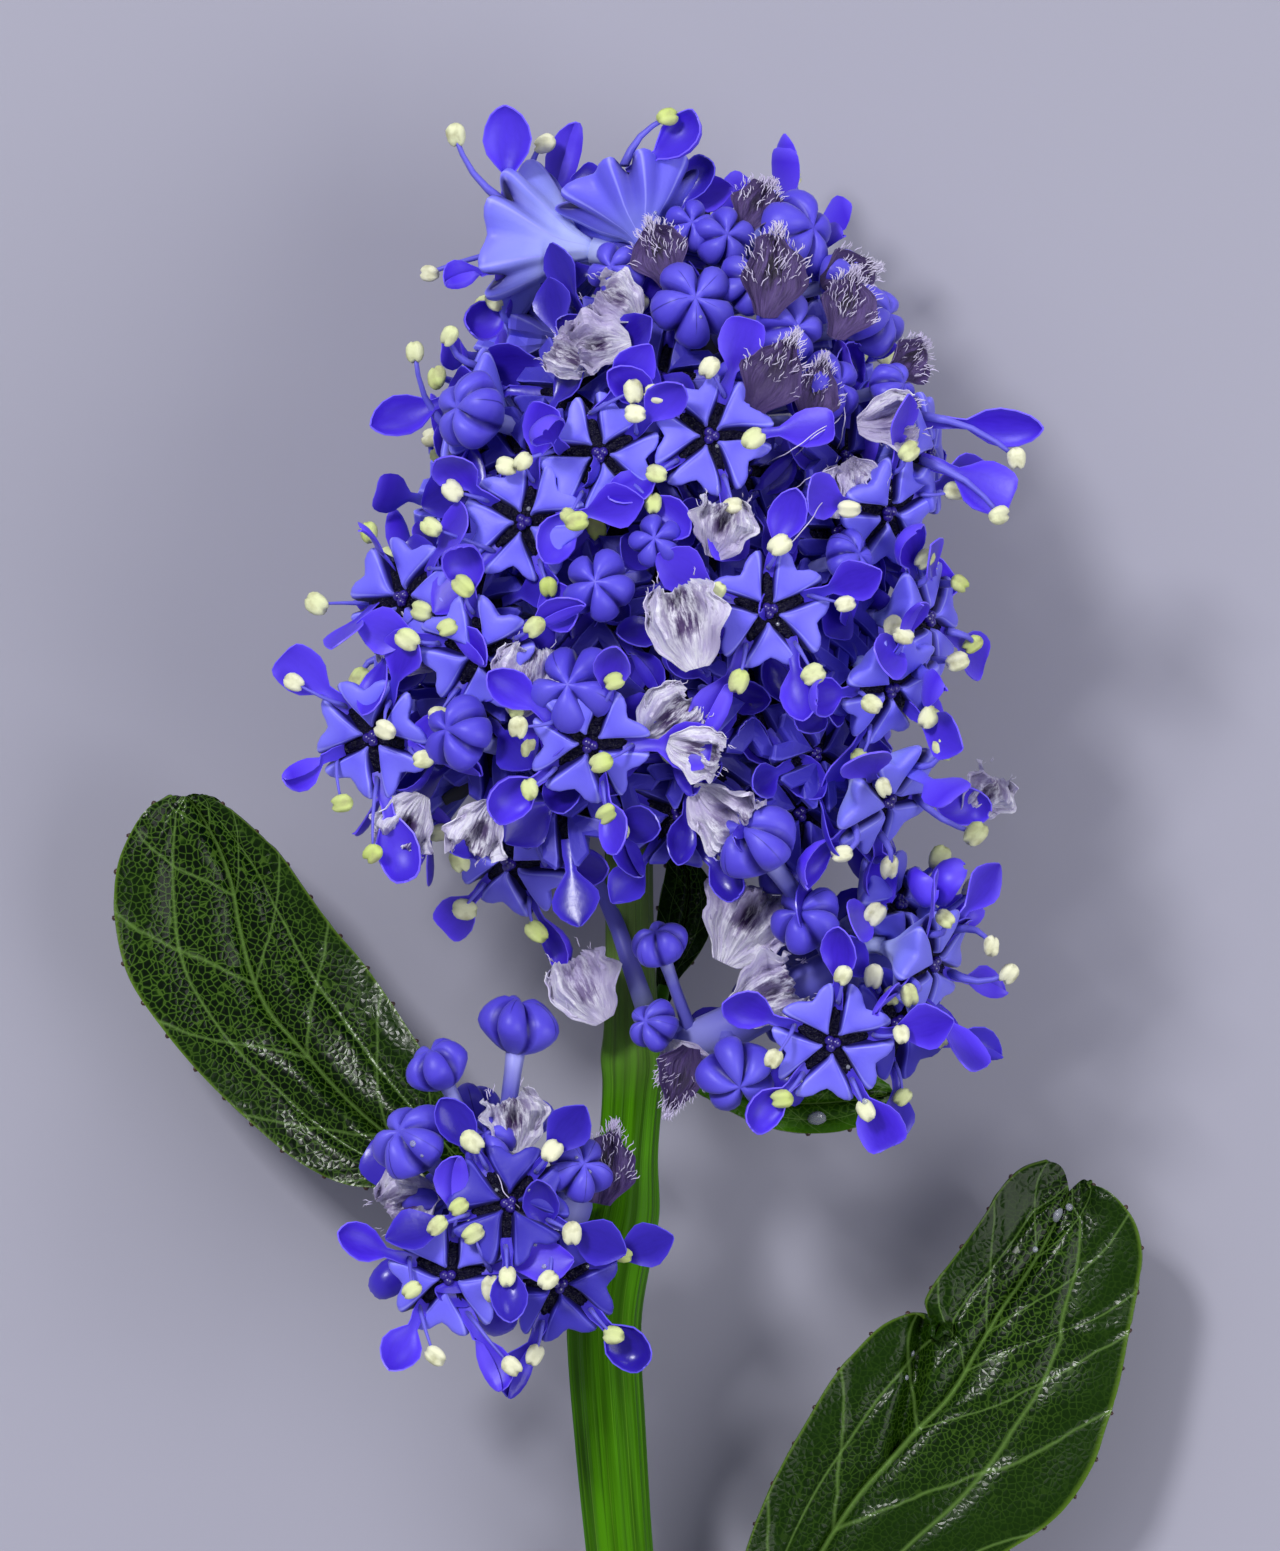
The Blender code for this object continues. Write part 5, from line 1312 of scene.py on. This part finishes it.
def stamen(parts, start, end, axis, thick):
    """One filament with the anther at its end."""
    length = (end - start).length / MM
    parts["filaments"].append(copied(filament_mesh, reaching(start, end, axis, (length, thick, thick))))
    lean = Vector((dice.uniform(-0.5, 0.5), dice.uniform(-0.5, 0.5), 1.0)) + 0.6 * axis
    bean = aim(end, lean, dice.uniform(0, 180), dice.uniform(0.85, 1.10))
    parts["anthers"].append(copied(anther_mesh, bean, 0.05))


def shut(parts, place, facing, root, size):
    """One bud on its stalk."""
    stand = aim(place, facing, dice.uniform(0, 72), size)
    parts["buds"].append(copied(bud_mesh, stand, STIR))
    foot = stand @ Vector((0.0, 0.0, -0.42))
    bend = foot - Vector(facing).normalized() * (foot - root).length * 0.45
    parts["stalks"].append(stalk(foot, bend, root, PEDICEL_RADIUS * size))


def scale_of(parts, place, facing, turn, size, finish):
    """One bract, with its fringe of hairs, and its fleece if it is a young, dark one."""
    stand = aim(place, facing, turn, size)
    parts[finish + " bracts"].append(copied(dice.choice(bract_meshes[finish]), stand, STIR))
    fringe = FRINGE[finish]
    for i in range(fringe + FLEECE[finish]):
        share = 1.0 - 0.75 * dice.random() ** 1.5
        side = (1 if i % 2 else -1) * (1.0 if i < fringe else dice.random())
        out, height, half_width, rise = eased(BRACT_STATIONS[finish], share)
        side *= ROOTED[finish]
        start = Vector((out, side * half_width, height + rise * side * side + (0.0 if i < fringe else 0.05)))
        way = Vector((0.4 + share, side * (1.1 - share) + dice.uniform(-0.7, 0.7), dice.uniform(0.0, 1.0)))
        curl = Vector((dice.uniform(-1, 1), dice.uniform(-1, 1), 1.0))
        length = HAIR_LENGTH * dice.uniform(0.35, 1.0) / MM
        hair_place = reaching(start, start + way.normalized(), curl, (length, length, length))
        parts["hairs"].append(copied(hair_mesh, stand @ hair_place))


def along_axis(axis, down):
    """The values of an axis at a pixel's height, between its own rows."""
    rows = sorted(axis, key=lambda row: row[1])
    if down <= rows[0][1]:
        return rows[0]
    for low, high in zip(rows, rows[1:]):
        if down <= high[1]:
            share = (down - low[1]) / (high[1] - low[1])
            return tuple(a + (b - a) * share for a, b in zip(low, high))
    return rows[-1]


def head_height(across, down, bloom_share=BLOOM_SHARE):
    """How high a flower's disc stands on the front of the head, in mm."""
    middle, _, height, half_width, half_depth, _ = along_axis(HEAD_AXIS, down)
    out = (across - middle) * PIXEL / MM / half_width
    return height + bloom_share * half_depth * math.sqrt(max(0.0, 1.0 - out * out))


def outward(across, down, height):
    """The direction away from the head's axis, leaning towards its tip."""
    middle, _, axis_height = along_axis(HEAD_AXIS, down)[:3]
    away = spot(across, down, height) - spot(middle, down, axis_height)
    return (away.normalized() + Vector((0.0, 0.25, 0.0))).normalized()


def nearest_on(axis_points, place):
    """The nearest point of an axis, moved a little back towards its root."""
    best = min(range(len(axis_points)), key=lambda i: (axis_points[i] - place).length)
    return axis_points[max(best - 1, 1)]


def dense(points, pieces=6):
    """An axis with extra points between its own."""
    made = []
    for start, end in zip(points, points[1:]):
        made.extend(start.lerp(end, step / pieces) for step in range(pieces))
    made.append(points[-1])
    return made


def mirrored(mesh):
    """The same shape, the other way round."""
    other = mesh.copy()
    other.transform(Matrix.Diagonal((1.0, -1.0, 1.0, 1.0)))
    other.flip_normals()
    return other


def empty_parts():
    kinds = ("calyces", "pale calyces", "deep calyces", "pale stalks", "discs", "pistils", "petals", "deep petals", "filaments", "anthers", "stalks", "buds",
             "pale bracts", "dark bracts", "hairs")
    return {kind: [] for kind in kinds}


calyx_mesh, disc_mesh, pistil_mesh = template(calyx), template(disc), template(pistil)
petal_meshes = [template(petal) for petal in petals]
petal_meshes = [{1.0: mesh, -1.0: mirrored(mesh)} for mesh in petal_meshes]
filament_mesh, anther_mesh, bud_mesh = template(filament), template(anther), template(bud)
bract_meshes = {finish: [template(bract) for bract in kinds] for finish, kinds in bracts.items()}
hair_mesh = template(hair)
LOOKS = {
    "pale calyces": pale_calyx_skin, "deep calyces": shaded_and_wet_calyx_skin, "pale stalks": pale_stalk_skin,
    "calyces": calyx_skin, "discs": disc_skin, "pistils": pistil_skin, "petals": petal_skin, "deep petals": shaded_and_wet_petal_skin,
    "filaments": filament_skin, "anthers": anther_skin, "stalks": stalk_skin, "buds": bud_skin,
    "pale bracts": pale_scale, "dark bracts": dark_scale, "hairs": hair_skin,
}


def laid_out(parts, prefix, node):
    """A piece for each kind of part, all standing for the node."""
    for kind, meshes in parts.items():
        if meshes:
            joined(prefix + "_" + kind.replace(" ", "_"), meshes, LOOKS[kind], "blossom", node)


parts = empty_parts()
head_axis = dense([spot(*row[:3]) for row in HEAD_AXIS])
for name, (across, down, facing, turn, petal_spots, anther_spots) in HEAD_FLOWERS.items():
    place = spot(across, down, head_height(across, down) - SUNKEN_FLOWERS.get(name, 0.0))
    size = PALE_FLOWERS.get(name, LARGE_FLOWERS.get(name, 1.0))
    bloom(parts, place, facing, turn, nearest_on(head_axis, place), petal_spots, anther_spots, size,
          tint="pale " if name in PALE_FLOWERS else "")
for across, down, size in HEAD_BUDS.values():
    place = spot(across, down, head_height(across, down))
    shut(parts, place, outward(across, down, place.z / MM), nearest_on(head_axis, place), size)
for across, down, rise, facing, turn, size, finish in HEAD_BRACTS.values():
    place = spot(across, down, head_height(across, down) + rise)
    scale_of(parts, place, facing, turn, size, finish)
for down, left, right, count in FILL_ROWS:
    for i in range(count):
        across = left + (right - left) * (i + 0.5) / count + dice.uniform(-FILL_JITTER, FILL_JITTER)
        height = head_height(across, down, FILL_SHARE)
        place = spot(across, down + dice.uniform(-FILL_JITTER, FILL_JITTER), height)
        facing = outward(across, down, height) + Vector((0.0, 0.0, 0.3))
        # The flowers deeper in the head take the darker deep finish, painted shade for the shade among the flowers.
        bloom(parts, place, facing, dice.uniform(0, 72), nearest_on(head_axis, place), size=dice.uniform(0.9, 1.0),
              stamens=dice.choice((0, 1)), back=True, tint="deep ")
back_parts = empty_parts()
back_dice = random.Random(7)
for down, flowers, buds in BACK_ROWS:
    middle, _, axis_height, half_width, half_depth, _ = along_axis(HEAD_AXIS, down)
    kinds = ["back"] * flowers + ["bud"] * buds
    back_dice.shuffle(kinds)
    for i, kind in enumerate(kinds):
        place_in_row = (i + back_dice.uniform(0.3, 0.7)) / len(kinds)
        angle = BACK_ARC[0] + (BACK_ARC[1] - BACK_ARC[0]) * place_in_row
        across = middle + BLOOM_SHARE * half_width * math.cos(angle) * MM / PIXEL
        height = max(axis_height + BLOOM_SHARE * half_depth * math.sin(angle), 0.9)
        place = spot(across, down + back_dice.uniform(-12, 12), height)
        facing = Vector((math.cos(angle), 0.2, math.sin(angle) * 0.75))
        turn = back_dice.uniform(0.0, 72.0)
        size = back_dice.uniform(0.85, 0.98)
        if kind == "bud":
            shut(back_parts, place, facing, nearest_on(head_axis, place), size)
        else:
            bloom(back_parts, place, facing, turn, nearest_on(head_axis, place), size=size, stamens=3, back=True)
for across, down, height in REST_BUDS:
    place = spot(across, down, height)
    shut(back_parts, place, (0.0, 0.0, -1.0), nearest_on(head_axis, place), REST_BUD_SIZE)
kept_state = dice.getstate()
for down in SIDE_ROWS:
    middle, _, axis_height, half_width, _, _ = along_axis(HEAD_AXIS, down)
    for sign in (-1, 1):
        across = middle + sign * SIDE_SHARE * half_width * MM / PIXEL
        place = spot(across, down + back_dice.uniform(-10, 10), axis_height + back_dice.uniform(-0.9, 0.5))
        facing = Vector((sign, back_dice.uniform(-0.1, 0.3), back_dice.uniform(-0.35, 0.0)))
        bloom(back_parts, place, facing, back_dice.uniform(0, 72), nearest_on(head_axis, place), size=0.95,
              stamens=2, back=True)
dice.setstate(kept_state)
laid_out(parts, "head", "flower_head")
laid_out(back_parts, "head_back", "flower_head")
# The bare core along the head's axis is painted near black, as painted shade between the flowers.
core_rows = whole_curve(HEAD_AXIS, 5)[:-2]
core = tube("head_core", [spot(*row[:3]) for row in core_rows], [0.5 * row[5] * MM for row in core_rows], sides=5)
for vert in core.data.vertices:
    vert.co += Vector((1, 1, 1)) * 0.5 * MM * noise.noise(vert.co / MM * 1.4)
shade(core, 60.0)
fixed(core, core_shade_skin, "blossom", "flower_head")

# The side clusters leave the stem at its two nodes, each on a short twig, with flowers and buds as in
# the head. One flower of the upper cluster hangs out to the left on a long stalk.
CLUSTERS = {
    "flower_cluster_right": {
        "axis": ((672, 1046, 7.9), (735, 1022, 8.2), (800, 985, 8.6), (850, 950, 8.8)),
        "core": 0.55,
        "flowers": {
            "star": (830, 1040, 10.6, (0.10, -0.25, 1.0), 10, (), ((773, 1055),)),
            "side": (930, 962, 9.3, (0.85, -0.30, 0.45), 30, ((960, 1050),), ((988, 944), (1006, 972), (1012, 1010))),
            "crumpled": (895, 1020, 9.0, (0.45, -0.25, 0.8), 50, (), ((890, 993),)),
            "upper": (897, 902, 7.8, (0.70, 0.30, 0.5), 0, ((910, 890), (935, 880)), ((956, 875), (971, 886), (937, 857))),
            "under": (790, 985, 6.3, (0.20, -0.30, -0.9), 20, (), ()),
            "back": (880, 950, 5.8, (0.60, 0.10, -0.75), 45, (), ()),
        },
        "buds": {
            "pumpkin": (755, 842, 11.6, 1.15), "outer": (805, 920, 10.3, 0.95), "inner": (790, 872, 9.2, 0.85),
            "low": (735, 1070, 10.0, 1.05), "over_stem": (660, 945, 9.3, 0.75), "node": (655, 1025, 8.8, 0.70),
        },
        "bracts": {
            "papery_upper": (722, 960, 9.4, 60, 1.25, "pale"), "papery_lower": (730, 1005, 9.8, 20, 1.0, "pale"),
            "node_left": (606, 1020, 8.3, 120, 0.95, "pale"), "node_right": (692, 1045, 9.0, 250, 0.8, "dark"),
            "node_low": (668, 1040, 8.6, 300, 0.7, "pale"),
        },
        "hanging": (510, 862, 8.3, (-0.40, -0.50, 0.70), 15, (), ((535, 829), (461, 859))),
    },
    "flower_cluster_left": {
        "axis": ((585, 1208, 7.1), (540, 1195, 7.6), (490, 1180, 7.8), (455, 1200, 7.6)),
        "core": 0.55,
        "flowers": {
            "star": (450, 1272, 9.2, (-0.10, -0.15, 1.0), 155, ((360, 1238), (400, 1348)),
                     ((475, 1230), (415, 1285), (436, 1350), (512, 1360))),
            "dark": (560, 1280, 8.7, (0.15, -0.35, 0.9), 30, (), ((550, 1275),)),
            "wet": (510, 1200, 9.6, (0.05, 0.05, 1.0), 50, (), ()),
            "under": (470, 1216, 6.4, (-0.10, -0.20, -1.0), 0, (), ()),
        },
        "buds": {
            "top": (520, 1025, 8.2, 1.05), "upper_left": (440, 1065, 8.6, 0.85), "star_bud": (415, 1140, 9.0, 1.05),
            "middle": (490, 1143, 8.9, 0.80), "small": (530, 1115, 8.0, 0.70), "by_stem": (578, 1168, 8.9, 0.90),
            "low_left": (425, 1202, 7.6, 0.80), "behind": (470, 1110, 6.4, 0.85),
        },
        "bracts": {
            "node": (600, 1200, 8.4, 80, 0.9, "dark"), "inner": (520, 1150, 8.9, 100, 0.8, "pale"),
            "low": (440, 1190, 8.0, 200, 0.8, "pale"),
        },
    },
}
# The darker deep finish is painted shade on the flowers under the clusters, and darkens the dark and wet ones of the
# left cluster and the crumpled one of the right.
CLUSTER_TINTS = {"side": "pale ", "dark": "deep ", "wet": "deep ", "crumpled": "deep ", "under": "deep "}
HANGING_BEND = (646, 1008, 8.2)

for name, cluster in CLUSTERS.items():
    parts = empty_parts()
    points = [spot(*row) for row in cluster["axis"]]
    axis_points = dense(points)
    for kind, (across, down, height, facing, turn, petal_spots, anther_spots) in cluster["flowers"].items():
        place = spot(across, down, height)
        bloom(parts, place, facing, turn, nearest_on(axis_points, place), petal_spots, anther_spots,
              tint=CLUSTER_TINTS.get(kind, ""))
    for across, down, height, size in cluster["buds"].values():
        place = spot(across, down, height)
        root = nearest_on(axis_points, place)
        shut(parts, place, place - root, root, size)
    for across, down, height, turn, size, finish in cluster["bracts"].values():
        scale_of(parts, spot(across, down, height), (0.0, 0.1, 1.0), turn, size, finish)
    if "hanging" in cluster:
        across, down, height, facing, turn, petal_spots, anther_spots = cluster["hanging"]
        bloom(parts, spot(across, down, height), facing, turn, spot(*HANGING_BEND), petal_spots, anther_spots)
        start = points[0].lerp(points[1], 0.3)
        parts["stalks"].append(stalk(spot(*HANGING_BEND), spot(*HANGING_BEND).lerp(start, 0.5), start, 0.24))
    twig = tube("twig", points, [cluster["core"] * MM * share for share in (0.8, 1.0, 1.0, 0.6)], sides=3)
    parts["stalks"].append(template(twig))
    laid_out(parts, name.replace("flower_", ""), name)

# Rain has left drops of water on the flowers and the leaves, each a flattened bead on the surface that
# it wets, and a few white threads hang between the flowers. A twig shows in a gap on the left, painted
# near black as painted shade.
DROPS = (
    # across, down, radius in mm
    (415, 1140, 0.09), (424, 1152, 0.05), (498, 1186, 0.05), (530, 1186, 0.05), (590, 1168, 0.06),
    (577, 1154, 0.05), (545, 1262, 0.07), (588, 1262, 0.05), (470, 1216, 0.05), (536, 1240, 0.06),
    (816, 1117, 0.24), (862, 1098, 0.08), (846, 1064, 0.06), (800, 1078, 0.05), (1057, 1214, 0.20),
    (1068, 1206, 0.10), (1034, 1248, 0.08), (912, 1352, 0.08), (906, 1376, 0.07), (530, 512, 0.06),
    (700, 322, 0.05), (655, 218, 0.06), (716, 450, 0.05), (776, 626, 0.05),
)
DROP_FLATNESS = 0.55
THREADS = (
    # pixels across and down
    ((842, 418), (815, 440), (790, 462)), ((822, 505), (806, 526), (790, 546)),
    ((836, 470), (800, 486), (762, 512)), ((758, 470), (786, 456), (824, 430)),
    ((520, 1204), (505, 1188), (498, 1170)), ((845, 400), (842, 425), (836, 452)),
)
THREAD_RADIUS = 0.013
THREAD_CLEARANCE = 0.20
TWIG = ((512, 768, 8.4), (480, 782, 8.6), (446, 800, 8.2))


def surface_at(across, down):
    """Where a plumb line over a pixel meets the object, and the way that surface faces."""
    graph = bpy.context.evaluated_depsgraph_get()
    found = bpy.context.scene.ray_cast(graph, spot(across, down, 30.0), Vector((0.0, 0.0, -1.0)))
    return found[1], found[2]


begin()
drops = []
for across, down, radius in DROPS:
    place, normal = surface_at(across, down)
    begin()
    bpy.ops.mesh.primitive_uv_sphere_add(segments=14, ring_count=9, radius=radius * MM)
    drop = bpy.context.object
    for vert in drop.data.vertices:
        vert.co += 0.08 * radius * MM * noise.noise_vector(vert.co / MM / radius * 0.8 + place / MM)
        vert.co.z *= DROP_FLATNESS
    drop.data.transform(Matrix.Translation(place) @ normal.to_track_quat("Z", "Y").to_matrix().to_4x4())
    drops.append(drop)
begin()
for drop in drops:
    drop.select_set(True)
bpy.context.view_layer.objects.active = drops[0]
bpy.ops.object.join()
drops[0].name = "water_drops"
bpy.ops.object.shade_smooth()
# The water has a whitish base beside its transmission: a painted highlight that makes each drop show as a white
# glint.
tree, shader, water_glint_skin = new_material("water", 0.04, Transmission_Weight=0.75, Specular_IOR_Level=0.9)
tint = noise_of(tree, coordinates_of(tree), 900.0)
tree.links.new(blend_of(tree, tint, (0.86, 0.89, 1.0), (0.70, 0.74, 0.95)), shader.inputs["Base Color"])
fixed(drops[0], water_glint_skin, "blossom")

threads = []
for number, line in enumerate(THREADS):
    heights = [surface_at(*pixel)[0].z / MM for pixel in line]
    heights[1] = max(heights) + THREAD_CLEARANCE
    rows = whole_curve([(*pixel, height) for pixel, height in zip(line, heights)], 8)
    rows = [(x + 5.0 * noise.noise(Vector((x, y, number)) * 0.06), y, z) for x, y, z in rows]
    threads.append(template(tube("thread", [spot(*row) for row in rows], [THREAD_RADIUS * MM] * len(rows), sides=1)))
joined("white_threads", threads, hair_skin, "blossom")
# The twig is painted near black with the core's finish, as painted shade.
rows = whole_curve(TWIG, 4)
shaded_twig = tube("twig_in_shade", [spot(*row) for row in rows], [0.20 * MM - 0.006 * MM * i for i in range(len(rows))], sides=3)
for vert in shaded_twig.data.vertices:
    vert.co += 0.06 * MM * noise.noise_vector(vert.co / MM * 3.0)
shade(shaded_twig, 60.0)
fixed(shaded_twig, core_shade_skin, "blossom")
